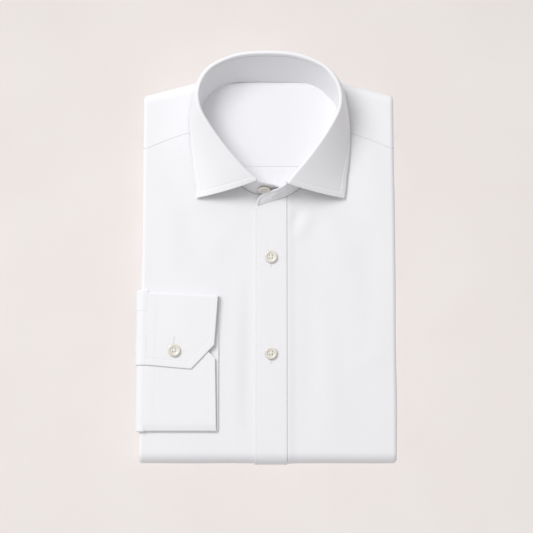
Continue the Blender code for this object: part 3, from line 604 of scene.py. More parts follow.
def along(sections, s):
    """The section at s on smooth curves through them all."""
    i = min(int(s), len(sections) - 2)
    t = float(s) - i
    before, after = sections[max(i - 1, 0)], sections[min(i + 2, len(sections) - 1)]
    found = []
    for p0, p1, p2, p3 in zip(before, sections[i], sections[i + 1], after):
        bend = (2 * p0 - 5 * p1 + 4 * p2 - p3) * t + (3 * p1 - p0 - 3 * p2 + p3) * t * t
        found.append(p1 + 0.5 * t * (p2 - p0 + bend))
    return found


def frame_at(sections, s):
    """The section at s with the level direction that points into the neck there."""
    last = len(sections) - 1
    found = along(sections, s)
    ahead = along(sections, min(s + STATION_STEP, last))[1] - along(sections, max(s - STATION_STEP, 0.0))[1]
    inward = Vector((ahead.y, -ahead.x, 0.0)).normalized()
    return found, inward


@lru_cache(maxsize=None)
def neck_curve(side, back):
    sections = stand_sections()
    middle = len(UNDER_END) + len(COLLAR_SECTIONS)
    stations = np.linspace(0, middle, 200) if side < 0 else np.linspace(middle, len(sections) - 1, 200)
    points = [along(sections, s)[0] for s in stations]
    widest = max(points, key=lambda p: side * p.x)
    own = [p for p in points if (p.y > widest.y) == back] + [widest]
    return sorted((side * p.x, p.y) for p in own)


def neck_y(side, x, back):
    curve = neck_curve(side, back)
    return float(np.interp(side * x, [p[0] for p in curve], [p[1] for p in curve]))


def yoke_seam_y(x):
    past = max(abs(x - BODY_CENTRE) - NECK_HALF, 0.0)
    return SEAM_Y - SEAM_SLOPE * past - SEAM_BEND * past * past


def front_top_y(side, x):
    if abs(x - BODY_CENTRE) > NECK_HALF:
        return yoke_seam_y(x)
    return neck_y(side, x, back=False)


def square_to(down, inward):
    outward = -inward
    return (outward - down * outward.dot(down)).normalized()


# Grids of points, as arrays of rows, columns and coordinates


def lengths(grid, axis):
    """Distance along the grid's lines from their first point."""
    steps = np.linalg.norm(np.diff(grid, axis=axis), axis=2)
    start = np.zeros_like(np.take(steps, [0], axis=axis))
    return np.concatenate([start, np.cumsum(steps, axis=axis)], axis=axis)


def lengths_back(grid, axis):
    """Distance along the grid's lines to their last point."""
    found = lengths(grid, axis)
    return np.take(found, [-1], axis=axis) - found


def normals(grid, flip=False):
    """The outward direction at each point of a grid whose faces are flipped or not."""
    found = np.cross(np.gradient(grid, axis=0), np.gradient(grid, axis=1))
    if flip:
        found = -found
    return found / np.maximum(np.linalg.norm(found, axis=2, keepdims=True), TINY)


def from_columns(strips):
    return np.array(strips).transpose(1, 0, 2)


def from_edge(length, fine, edge, count):
    """Distances in from an edge: spaced by fine within edge of it, then in even steps on to length."""
    return np.concatenate([np.arange(0.0, edge, fine), np.linspace(edge, length, count + 1)])


def soft(t):
    t = np.clip(t, 0.0, 1.0)
    return t * t * (3 - 2 * t)


def border(distance, line):
    """Relief of a stitched edge by the distance in from it: a puffed border, sunk along its stitches."""
    puffed = soft(distance / BORDER_EDGE) * (1 - soft((distance - line + STITCH_WIDTH) / STITCH_WIDTH))
    return BORDER_RISE * puffed - STITCH_SINK * np.exp(-(((distance - line) / STITCH_WIDTH) ** 2))


def puckers(run, distance, line):
    """Small uneven waves that the thread's pull leaves along a stitched line."""
    phase = 2 * math.pi * run / PUCKER_LENGTH
    waves = np.sin(phase + 2 * np.sin(phase / 4.7))
    return PUCKER * waves * np.exp(-(((distance - line) / PUCKER_WIDTH) ** 2))


def raised(grid, height, flip=False):
    return grid + normals(grid, flip) * height[:, :, None]


def line_distance(grid, start, end):
    """Distance of each point, seen from above, to the left of the line from start to end."""
    dx, dy = end[0] - start[0], end[1] - start[1]
    return (dx * (grid[:, :, 1] - start[1]) - dy * (grid[:, :, 0] - start[0])) / math.hypot(dx, dy)


def level_rows(distance, level):
    """The fractional row of each column where a distance that falls down the rows reaches level."""
    rows = np.arange(distance.shape[0])
    return np.array([np.interp(-level, -distance[:, c], rows) for c in range(distance.shape[1])])


def sample(grid, rows, columns):
    """Values of a grid at fractional rows and columns."""
    rows = np.clip(rows, 0, grid.shape[0] - JUST_OVER_ONE)
    columns = np.clip(columns, 0, grid.shape[1] - JUST_OVER_ONE)
    i, j = rows.astype(int), columns.astype(int)
    s, t = (rows - i)[:, None], (columns - j)[:, None]
    near = grid[i, j] * (1 - t) + grid[i, j + 1] * t
    far = grid[i + 1, j] * (1 - t) + grid[i + 1, j + 1] * t
    return near * (1 - s) + far * s


class Shirt:
    """What the pieces share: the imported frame's place for the shirt, its materials and its threads."""

    def __init__(self):
        low, high = (Vector(corner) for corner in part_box("button_front_1"))
        middle = (low + high) / 2
        self.offset = np.array((middle.x, middle.y - FRONT_BUTTONS_Y[0], 0.0))
        self.materials = {}
        self.sewing = {}

    def sew(self, name, grid, flip, rows, columns, lift=0.0, away=None, line=0.0):
        """Adds stitches along a line of a grid to the named stitching, where away is at least line."""
        if away is not None:
            keep = sample(away[:, :, None], rows, columns)[:, 0] >= line
            rows, columns = rows[keep], columns[keep]
        ups = sample(normals(grid, flip), rows, columns)
        points = sample(grid, rows, columns) + ups * lift
        self.sewing.setdefault(name, []).append(stitches(points, ups))

    def work_hole(self, points, ups):
        """Adds a worked buttonhole along a line of points."""
        self.sewing.setdefault("buttonholes", []).extend(buttonhole(points, ups))

    def work_flat_hole(self, x, y, reach, out):
        """Adds a buttonhole along y, from above to below its button's middle, on the face of the cloth."""
        ys = np.linspace(y + reach[0], y + reach[1], 30)
        points = np.array([(x, at, face_z(x, at, out)) for at in ys])
        self.work_hole(points, np.tile(UP, (len(points), 1)))


# Thread


def spaced(points, ups, pitch):
    """Middles, directions ahead and upward directions of even steps along a line of points."""
    run = np.concatenate([[0.0], np.cumsum(np.linalg.norm(np.diff(points, axis=0), axis=1))])
    count = max(int(run[-1] / pitch), 1)
    where = (np.arange(count) + 0.5) * run[-1] / count
    found = [np.stack([np.interp(where, run, v[:, a]) for a in range(3)], axis=-1) for v in (points, ups)]
    ahead = np.gradient(found[0], axis=0)
    return found[0], ahead / np.linalg.norm(ahead, axis=1, keepdims=True), found[1]


def stitches(points, ups):
    middles, ahead, ups = spaced(points, ups, STITCH_PITCH)
    return middles - ahead * STITCH_LENGTH / 2, middles + ahead * STITCH_LENGTH / 2, ups


def buttonhole(points, ups):
    """Satin stitches down both sides of a slit and across both its ends."""
    middles, ahead, ups = spaced(points, ups, SATIN_PITCH)
    sideways = np.cross(ahead, ups)
    outer = SLIT_HALF + SATIN_REACH
    runs = []
    for side in (-1, 1):
        runs.append((middles + sideways * side * SLIT_HALF, middles + sideways * side * outer, ups))
    steps = np.arange(BAR_STITCHES)[:, None] * SATIN_PITCH
    for end, way in ((0, -1), (-1, 1)):
        centres = middles[end] + ahead[end] * way * (steps + SATIN_PITCH)
        reach = sideways[end] * outer
        runs.append((centres - reach, centres + reach, np.repeat(ups[end][None], BAR_STITCHES, axis=0)))
    return runs


def placed(name, data):
    made = bpy.data.objects.new(name, data)
    bpy.context.scene.collection.objects.link(made)
    return made


def add_threads(shirt, name, runs, thickness):
    """Short threads as small tubes, each arched a little and sunk at both ends."""
    starts, ends, ups = (np.concatenate(part) for part in zip(*runs))
    ahead = ends - starts
    unit = ahead / np.linalg.norm(ahead, axis=1, keepdims=True)
    sideways = np.cross(unit, ups)
    sideways /= np.linalg.norm(sideways, axis=1, keepdims=True)
    up = np.cross(sideways, unit)
    lift = thickness * STITCH_LIFTS
    radius = thickness / 2 * STITCH_GIRTHS
    centres = starts[:, None] + ahead[:, None] * STITCH_SHARES[:, None] + up[:, None] * lift[:, None]
    turns = np.radians(np.arange(0, 360, 60))
    ring = sideways[:, None] * np.cos(turns)[:, None] + up[:, None] * np.sin(turns)[:, None]
    points = centres[:, :, None] + ring[:, None] * radius[:, None, None] + shirt.offset
    index = np.arange(points.size // 3).reshape(points.shape[:3])
    beside = np.roll(index, -1, axis=2)
    walls = np.stack([index[:, :-1], index[:, 1:], beside[:, 1:], beside[:, :-1]], axis=-1).reshape(-1, 4)
    caps = np.concatenate([index[:, 0], index[:, -1, ::-1]])
    mesh = bpy.data.meshes.new(name)
    mesh.from_pydata(points.reshape(-1, 3).tolist(), [], walls.tolist() + caps.tolist())
    mesh.shade_smooth()
    made = placed(name, mesh)
    mesh.materials.append(shirt.materials["thread"])
    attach(made, "root")


# The pieces of cloth


def grid_mesh(shirt, name, grid, flip=False, ring=False):
    rows, wide = grid.shape[:2]
    points = grid + shirt.offset
    index = np.arange(rows * wide).reshape(rows, wide)
    if ring:
        index = np.concatenate([index, index[:, :1]], axis=1)
    near, far = index[:-1], index[1:]
    faces = np.stack([near[:, :-1], far[:, :-1], far[:, 1:], near[:, 1:]], axis=-1).reshape(-1, 4)
    if flip:
        faces = faces[:, ::-1]
    mesh = bpy.data.meshes.new(name)
    mesh.from_pydata(points.reshape(-1, 3).tolist(), [], faces.tolist())
    threads = np.stack([lengths(grid, 1), lengths(grid, 0), np.zeros((rows, wide))], axis=-1)
    mesh.attributes.new("cloth", "FLOAT_VECTOR", "POINT").data.foreach_set("vector", threads.ravel())
    mesh.shade_smooth()
    return mesh


def cloth(
    shirt,
    node,
    grid,
    wall,
    finish="poplin",
    name="",
    flip=False,
    ring=False,
    rounding=RIM_ROUNDING,
):
    """A piece of cloth from its outer face: given its wall and rounded rims, in place of its hidden part."""
    name = name or node + "_cloth"
    made = placed(name, grid_mesh(shirt, name, grid, flip, ring))
    made.data.materials.append(shirt.materials[finish])
    solid = made.modifiers.new("wall", "SOLIDIFY")
    solid.thickness = wall
    solid.offset = -1.0
    rim = made.modifiers.new("rim", "BEVEL")
    rim.width = wall * rounding
    rim.segments = 2
    rim.limit_method = "ANGLE"
    rim.angle_limit = RIM_ANGLE
    made.modifiers.new("shading", "WEIGHTED_NORMAL").weight = SHADING_WEIGHT
    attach(made, "root")
    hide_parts(node)
    wide = float(lengths(grid, 1)[:, -1].max())
    if ring:
        wide += float(np.linalg.norm(grid[:, 0] - grid[:, -1], axis=1).max())


def panel_steps(radius, top_y):
    """How far past the bottom fold's start each row of a front lies, from its top edge to underneath."""
    face = top_y - radius
    steps = list(from_edge(face, TOP_STEP, TOP_BAND, FACE_ROWS) - face)
    steps += list(math.pi * radius * np.linspace(0, 1, BEND_ROWS + 1)[1:])
    return steps + list(math.pi * radius + np.linspace(0.0, FLAP_END_Y - radius, UNDERSIDE_ROWS + 1)[1:])


def side_turns(x, tucks):
    """A piece's columns on round a side fold that starts at x, and tucked in under it."""
    turned = [Column(x, angle) for angle in (FIRST_TURN, *FINE_TURNS)]
    return turned + [Column(x, math.pi, tuck) for tuck in tucks]


def make_front(shirt, node, side, inner_x):
    if side < 0:
        flat = np.linspace(inner_x, RIGHT_FLAT_END, 66)
    else:
        inner = inner_x + np.arange(LEFT_INNER_COLUMNS) * LEFT_INNER_STEP
        begin = inner_x + LEFT_INNER_COLUMNS * LEFT_INNER_STEP
        flat = np.concatenate([inner, np.linspace(begin, LEFT_FLAT_END, 60)])
    columns = [Column(x) for x in flat]
    columns += side_turns(fold_start(side, SHOULDER_DROP_FROM), FRONT_TUCKS)
    strips = []
    for column in columns:
        radius = top_height(column.x, 0.0) / 2
        beside = 0.0
        if side > 0:
            beside = FOLD_RISE * (1 - smooth((column.x - inner_x) / FOLD_WIDTH))
        bend = math.pi * radius
        steps = panel_steps(radius, front_top_y(side, column.x))
        strips.append([tail_point(side, column, p, beside * underside_fade(p, bend)) for p in steps])
    cloth(shirt, node, from_columns(strips), CLOTH, flip=side < 0, rounding=SEAM_ROUNDING)


def make_placket(shirt):
    width = PLACKET_RIGHT - PLACKET_LEFT
    edge = np.arange(0.0, EDGE_BAND, EDGE_STEP)
    inside = np.linspace(EDGE_BAND, width - EDGE_BAND, 24)
    xs = PLACKET_LEFT + np.concatenate([edge, inside, width - edge[::-1]])
    tops = np.interp(xs, (PLACKET_LEFT, PLACKET_RIGHT), PLACKET_TOP)
    strips = []
    for x, top_y in zip(xs, tops):
        steps = panel_steps(top_height(x, 0.0) / 2, top_y)
        strips.append([tail_point(1, Column(x), p, PLACKET_OUT) for p in steps])
    grid = from_columns(strips)
    distance = np.minimum(lengths(grid, 1), lengths_back(grid, 1))
    face_rows = grid.shape[0] - UNDERSIDE_ROWS - BEND_ROWS
    on_face = 1 - soft((np.arange(grid.shape[0]) - face_rows) / BEND_ROWS)[:, None]
    height = PLACKET_BORDER_SHARE * border(distance, EDGE_LINE)
    height += puckers(lengths(grid, 0), distance, EDGE_LINE)
    grid = raised(grid, height * on_face)
    rows = np.linspace(0.5, face_rows + BEND_ROWS / 2, 900)
    for column in (EDGE_COLUMN, grid.shape[1] - 1 - EDGE_COLUMN):
        shirt.sew("placket_stitching", grid, False, rows, np.full(rows.shape, column))
    for y in FRONT_BUTTONS_Y:
        shirt.work_flat_hole(0.0, y, PLACKET_SLIT, PLACKET_OUT)
    cloth(shirt, "placket", grid, THIN_CLOTH)


def make_yoke(shirt):
    centre = collar_centre(RIDGE_Y)
    neck = np.linspace(0, NECK_HALF, 30)[1:]
    half = np.concatenate([neck, np.linspace(NECK_HALF, YOKE_FLAT_END, 24)[1:]])
    sides = {}
    for side in (-1, 1):
        start_x = fold_start(side, SHOULDER_DROP_FROM)
        xs = [centre + side * x for x in half if abs(centre + side * x) < abs(start_x) - YOKE_MARGIN]
        sides[side] = [Column(x) for x in xs] + side_turns(start_x, YOKE_TUCKS)
    strips = []
    sewn = []
    for column in [*sides[-1][::-1], Column(centre), *sides[1]]:
        side = -1 if column.x < centre else 1
        radius = ridge_radius(column.x)
        start = ridge_y(column.x) - radius
        at_seam = abs(column.x - centre) >= NECK_HALF
        if at_seam:
            begin = yoke_seam_y(column.x) + SEAM_GAP
        else:
            begin = neck_y(side, column.x, back=True)
        sewn.append(at_seam)
        first = begin - start
        if first > 0:
            first = radius * math.asin(min(first / radius, 1.0))
        level = YOKE_FACE_ANGLE * radius
        steps = list(first + from_edge(level - first, EDGE_STEP, EDGE_BAND, YOKE_ROWS))
        steps += list(np.linspace(level, math.pi * radius, 16)[1:])
        steps += list(np.linspace(math.pi * radius, math.pi * radius + start - YOKE_END_Y, 8)[1:])
        strips.append([ridge_point(side, column, p, 0.0) for p in steps])
    grid = from_columns(strips)
    distance = lengths(grid, 0)
    sewn = np.array(sewn)
    height = border(distance, EDGE_LINE) + YOKE_EDGE_RISE * np.exp(-((distance / YOKE_EDGE_WIDTH) ** 2))
    grid = raised(grid, height * sewn, flip=True)
    columns = np.arange(grid.shape[1])
    left_half = columns < columns.size / 2
    for own in (columns[sewn & left_half], columns[sewn & ~left_half]):
        line = np.linspace(own[0], own[-1], 200)
        shirt.sew("yoke_stitching", grid, True, np.full(line.shape, EDGE_COLUMN), line)
    cloth(shirt, "yoke", grid, CLOTH, flip=True, rounding=SEAM_ROUNDING)


def make_inner_yoke(shirt):
    strips = []
    for x in np.linspace(INNER_LEFT, INNER_RIGHT, 60):
        radius = ridge_radius(x)
        first = INNER_SEAM_Y - (ridge_y(x) - radius)
        steps = list(first + from_edge(-first, EDGE_STEP, EDGE_BAND, YOKE_ROWS))
        steps += list(np.linspace(0.0, INNER_YOKE_ANGLE * radius, 14)[1:])
        strips.append([ridge_point(1, Column(x), p, INNER_OUT) for p in steps])
    grid = from_columns(strips)
    grid = raised(grid, border(lengths(grid, 0), EDGE_LINE), flip=True)
    line = np.linspace(0.5, grid.shape[1] - 1.5, 200)
    shirt.sew("yoke_stitching", grid, True, np.full(line.shape, EDGE_COLUMN), line)
    cloth(shirt, "yoke_inner", grid, THIN_CLOTH, flip=True, rounding=SEAM_ROUNDING)


def make_back(shirt):
    ys = np.linspace(INNER_SEAM_Y - SEAM_GAP, BACK_END_Y, 30)
    xs = np.linspace(INNER_LEFT, INNER_RIGHT, 60)
    rows = [[(x, y, face_z(x, y, INNER_OUT)) for x in xs] for y in ys]
    cloth(shirt, "back", np.array(rows), THIN_CLOTH, rounding=SEAM_ROUNDING)


def make_collar_stand(shirt):
    sections = stand_sections()
    first, last = len(UNDER_END), len(sections) - 1 - len(OVER_END)
    end = len(sections) - 1
    over_row = STAND_UNDER_ROWS + STAND_NECK_ROWS
    stations = [*np.linspace(0, first - LEAF_MARGIN, STAND_UNDER_ROWS)]
    stations += [*np.linspace(first, last, STAND_NECK_ROWS)]
    stations += [*np.linspace(last + LEAF_MARGIN, end, STAND_OVER_ROWS)]
    shares = np.linspace(0, 1, STAND_COLUMNS)
    rows = []
    for s in stations:
        (neck, fold), inward = frame_at(sections, s)
        neck = neck - Vector((0.0, 0.0, STAND_SINK))
        top = fold.copy()
        if first <= s <= last:
            down = (neck - fold).normalized()
            top += down * STAND_BELOW_FOLD - square_to(down, inward) * STAND_SETBACK
        outward = square_to((neck - top).normalized(), inward)
        bulge = BAND_BULGE * smooth((s - last) / 2)
        rows.append([tuple(neck.lerp(top, v) + outward * bulge * 4 * v * (1 - v)) for v in shares])
    grid = np.array(rows)
    top_distance = lengths_back(grid, 1)
    end_distance = np.minimum(lengths(grid, 0), lengths_back(grid, 0))
    distance = np.minimum(top_distance, end_distance)
    free = np.array([[float(s < first or s > last)] for s in stations])
    rolled = BAND_ROLL * np.exp(-((distance / BAND_ROLL_WIDTH - 1) ** 2))
    grid = raised(grid, (BAND_BORDER_SHARE * border(distance, BAND_LINE) + rolled) * free, flip=True)
    count = grid.shape[0]
    over = np.linspace(over_row, count - 1, 300)
    top_line = np.interp(over, np.arange(count), level_rows(top_distance.T, BAND_LINE))
    shirt.sew("collar_stitching", grid, True, over, top_line, -THREAD / 4, end_distance, BAND_LINE)
    inside = np.linspace(2, count - 3, 900)
    base_line = np.interp(inside, np.arange(count), level_rows(-lengths(grid, 1).T, -BAND_BASE_LINE))
    shirt.sew("collar_stitching", grid, True, inside, base_line, -COLLAR_STAND_CLOTH)
    over_xs = grid[over_row:, STAND_COLUMNS // 2, 0]
    slit = [over_row + np.argmin(np.abs(over_xs - x)) for x in BAND_SLIT_X]
    line = np.linspace(*slit, 30)
    middle = np.full(line.shape, STAND_COLUMNS / 2)
    shirt.work_hole(sample(grid, line, middle), sample(normals(grid, True), line, middle))
    cloth(shirt, "collar_stand", grid, COLLAR_STAND_CLOTH, "interlined", flip=True)


def leaf_profile(neck, fold, edge, inward):
    """The leaf in section: up from the stand's top, over the fold and down outside to its edge."""
    down_inside = (neck - fold).normalized()
    down_outside = (edge - fold).normalized()
    inner = fold - square_to(down_inside, inward) * LEAF_HALF_FOLD
    points = [inner + down_inside * LEAF_ROLL_DEPTH * share for share in LEAF_INSIDE_SHARES]
    for angle in np.radians(np.linspace(-90, 90, LEAF_ROLL_POINTS)):
        down = down_inside.lerp(down_outside, (math.sin(angle) + 1) / 2).normalized()
        reach = square_to(down, inward) * math.sin(angle) + down * (1 - math.cos(angle))
        points.append(fold + reach * LEAF_HALF_FOLD)
    begin = points[-1]
    outward = square_to((edge - begin).normalized(), inward)
    fall = (edge - begin).length
    for distance in from_edge(fall, FINE, LEAF_FINE, 24)[-2::-1]:
        v = 1 - float(distance) / fall
        points.append(begin.lerp(edge, v) + outward * LEAF_BULGE * 4 * v * (1 - v))
    return points


def make_collar_leaf(shirt):
    sections = leaf_sections()
    first, last = LEAF_MARGIN, len(sections) - 1 - LEAF_MARGIN
    ends = np.arange(0.0, 1.0, LEAF_END_STEP)
    stations = [*(first + ends), *np.linspace(first + 1.0, last - 1.0, 210), *(last - ends[::-1])]
    rows = []
    for s in stations:
        (neck, fold, edge), inward = frame_at(sections, s)
        rows.append([tuple(p) for p in leaf_profile(neck, fold, edge, inward)])
    grid = np.array(rows)
    ends_away = np.minimum(lengths(grid, 0), lengths_back(grid, 0))
    hem_away = lengths_back(grid, 1)
    outside = soft((np.arange(grid.shape[1]) - LEAF_TOP) / 4)[None]
    height = border(np.minimum(ends_away, hem_away), LEAF_LINE)
    height += puckers(lengths(grid, 0), hem_away, LEAF_LINE)
    grid = raised(grid, height * outside)
    count, wide = grid.shape[:2]
    rows = np.linspace(0, count - 1, 1500)
    columns = np.interp(rows, np.arange(count), level_rows(hem_away.T, LEAF_LINE))
    shirt.sew("collar_stitching", grid, False, rows, columns, away=ends_away, line=LEAF_LINE)
    first_end = level_rows(-lengths(grid, 0)[:LEAF_END_ROWS], -LEAF_LINE)
    last_end = count - LEAF_END_ROWS + level_rows(lengths_back(grid, 0)[-LEAF_END_ROWS:], LEAF_LINE)
    for level in (first_end, last_end):
        columns = np.linspace(LEAF_TOP + 1, wide - 1, 300)
        rows = np.interp(columns, np.arange(wide), level)
        shirt.sew("collar_stitching", grid, False, rows, columns, away=hem_away, line=LEAF_LINE)
    cloth(shirt, "collar_leaf", grid, COLLAR_LEAF_CLOTH, "interlined")


def sleeve_height(angle, y):
    """Height of the flattened sleeve: level with the cuff at their seam and lower round the side fold."""
    lapped = smooth((y - CUFF_OVER_END_Y[0]) / LAP_STEP + 0.5)
    seam = lerp(CUFF_UNDER_OUT, CUFF_OVER_OUT, lapped) - GAP - SLEEVE_SEAM_DROP
    low, high = SLEEVE_PLACKET_Y
    covered = smooth((y - low) / LAP_STEP) * smooth((high - y) / LAP_STEP)
    pleat = PLEAT_STEP * smooth((y - PLEAT_Y) / LAP_STEP + 0.5)
    pleat -= SMALL_PLEAT_STEP * smooth((y - SMALL_PLEAT_Y) / LAP_STEP + 0.5)
    seam += PLEAT_AT_SEAM * pleat - covered * SLEEVE_PLACKET_CLOTH
    return lerp(seam, SLEEVE_HEIGHT + pleat - covered * SLEEVE_PLACKET_SINK, smooth(angle / math.pi))


def cuff_fold_drop(y):
    """How far the cuff's face falls on its way to the low fold."""
    near = min(max(1 - (y - CUFF_LOW_Y) / CUFF_FOLD_REACH, 0.0), 1.0)
    return CUFF_FOLD_DROP * near * near


def cuff_seam_x(y):
    return lerp(CUFF_SEAM_LOW, CUFF_SEAM_HIGH, (y - CUFF_LOW_Y) / (CUFF_HIGH_Y - CUFF_LOW_Y))


def sleeve_point(angle, tuck, y, out):
    column = Column(cuff_seam_x(y) - SEAM_GAP, angle, tuck)
    out += relief(unrolled_x(-1, column, y), y) * (1 - smooth(angle / math.pi))
    x, level_x, rise = across(-1, column, y, out)
    return x, y, top_height(level_x, y) + rise


def make_sleeve(shirt):
    low, high = SLEEVE_LOW_Y, SLEEVE_HIGH_Y
    turns = np.radians(np.linspace(-90, 90, 9))
    rounding = [(SLEEVE_ROUND * (1 - math.cos(turn)), 0.5 + 0.5 * math.sin(turn)) for turn in turns]
    loop = [(low + inset, share) for inset, share in rounding]
    ys = list(np.linspace(low + SLEEVE_END, high - SLEEVE_END, 90))
    steps = (PLEAT_Y, SMALL_PLEAT_Y, SLEEVE_PLACKET_Y[0] + LAP_STEP / 2, SLEEVE_PLACKET_Y[1] - LAP_STEP / 2)
    for step_y in (*steps, CUFF_OVER_END_Y[0]):
        ys += list(step_y + LAP_STEP * np.linspace(-0.6, 0.6, 5))
    loop += [(y, 1.0) for y in sorted(ys)]
    loop += [(high - inset, share) for inset, share in rounding[::-1]]
    loop += [(y, 0.0) for y in np.linspace(high - SLEEVE_END, low + SLEEVE_END, 40)]
    stations = [(angle, 0.0) for angle in (0.0, FIRST_TURN, *FINE_TURNS)]
    stations += [(math.pi, tuck) for tuck in SLEEVE_TUCKS]
    rings = []
    for angle, tuck in stations:
        ring = [(y, GAP + sleeve_height(angle, y) * share) for y, share in loop]
        rings.append([sleeve_point(angle, tuck, y, out) for y, out in ring])
    cloth(shirt, "sleeve", np.array(rings), THIN_CLOTH, flip=True, ring=True, rounding=SEAM_ROUNDING)


def make_sleeve_placket(shirt):
    rows = []
    low, high = SLEEVE_PLACKET_Y
    for angle in (0.0, FIRST_TURN, *(a for a in FINE_TURNS if a < SLEEVE_PLACKET_ANGLE)):
        row = []
        for y in np.linspace(low, high, 70):
            under = sleeve_height(angle, min(max(y, low + LAP_STEP), high - LAP_STEP))
            row.append(sleeve_point(angle, 0.0, y, GAP + under + 3 * SEAM_GAP + SLEEVE_PLACKET_CLOTH))
        rows.append(row)
    grid = np.array(rows)
    distance = np.minimum(lengths(grid, 1), lengths_back(grid, 1))
    grid = raised(grid, SLEEVE_PLACKET_BORDER * border(distance, EDGE_LINE), flip=True)
    rows = np.linspace(0, grid.shape[0] - 1.2, 60)
    low_edge = level_rows(-lengths(grid, 1).T, -EDGE_LINE)
    high_edge = level_rows(lengths_back(grid, 1).T, EDGE_LINE)
    for level in (low_edge, high_edge):
        shirt.sew("cuff_stitching", grid, True, rows, np.interp(rows, np.arange(grid.shape[0]), level))
    cloth(shirt, "sleeve_placket", grid, SLEEVE_PLACKET_CLOTH, flip=True, rounding=SEAM_ROUNDING)


def cuff_over_end(x):
    if x < CUFF_MITRE_X:
        share = (x - CUFF_SEAM_LOW) / (CUFF_MITRE_X - CUFF_SEAM_LOW)
        return lerp(*CUFF_OVER_END_Y, share)
    share = (x - CUFF_MITRE_X) / (CUFF_HEM_OVER[0] - CUFF_MITRE_X)
    return lerp(CUFF_OVER_END_Y[1], CUFF_OVER_MITRE_Y, share)


def cuff_under_end(x):
    if x < CUFF_MITRE_X:
        return CUFF_UNDER_END_Y
    share = (x - CUFF_MITRE_X) / (CUFF_HEM_UNDER[1] - CUFF_MITRE_X)
    return lerp(CUFF_UNDER_END_Y, CUFF_UNDER_MITRE_Y, share)


def cuff_path(v):
    """The cuff along one thread, v of the way from seam to hem, as (y, height above the front, hem x)."""
    high_y = CUFF_HIGH_Y + CUFF_HIGH_SLOPE * v
    seam = cuff_seam_x(CUFF_SEAM_MIDDLE_Y)
    under_x = lerp(seam, CUFF_HEM_UNDER[1], v)
    over_x = lerp(seam, CUFF_HEM_OVER[0], v)
    low_y = CUFF_LOW_Y + CUFF_LOW_RADIUS
    low_out = CUFF_UNDER_OUT - cuff_fold_drop(low_y)
    low_radius = (low_out - GAP) / 2
    high_radius = (CUFF_OVER_OUT - GAP) / 2
    path = []
    end_steps = from_edge(1.0, CUFF_END_STEP, CUFF_END_SHARE, CUFF_FACE_ROWS - CUFF_END_ROWS)
    for t in end_steps:
        y = lerp(cuff_under_end(under_x), low_y, t)
        path.append((y, CUFF_UNDER_OUT - cuff_fold_drop(y), lerp(*CUFF_HEM_UNDER[::-1], t)))
    for turn in np.radians(np.linspace(0, 180, 16)[1:]):
        y = low_y - CUFF_LOW_RADIUS * math.sin(turn)
        out = GAP + low_radius * (1 + math.cos(turn))
        path.append((y, out, lerp(CUFF_HEM_UNDER[0], CUFF_HEM_BACK, turn / math.pi)))
    for t in np.linspace(0, 1, 30)[1:-1]:
        y = lerp(low_y, high_y - high_radius, t)
        path.append((y, GAP, CUFF_HEM_BACK))
    for turn in np.radians(np.linspace(0, 180, 16)):
        y = high_y - high_radius * (1 - math.sin(turn))
        out = GAP + high_radius * (1 - math.cos(turn))
        path.append((y, out, lerp(CUFF_HEM_BACK, CUFF_HEM_OVER[1], turn / math.pi)))
    for t in 1 - end_steps[-2::-1]:
        y = lerp(high_y - high_radius, cuff_over_end(over_x), t)
        path.append((y, CUFF_OVER_OUT, lerp(*CUFF_HEM_OVER[::-1], t)))
    return path


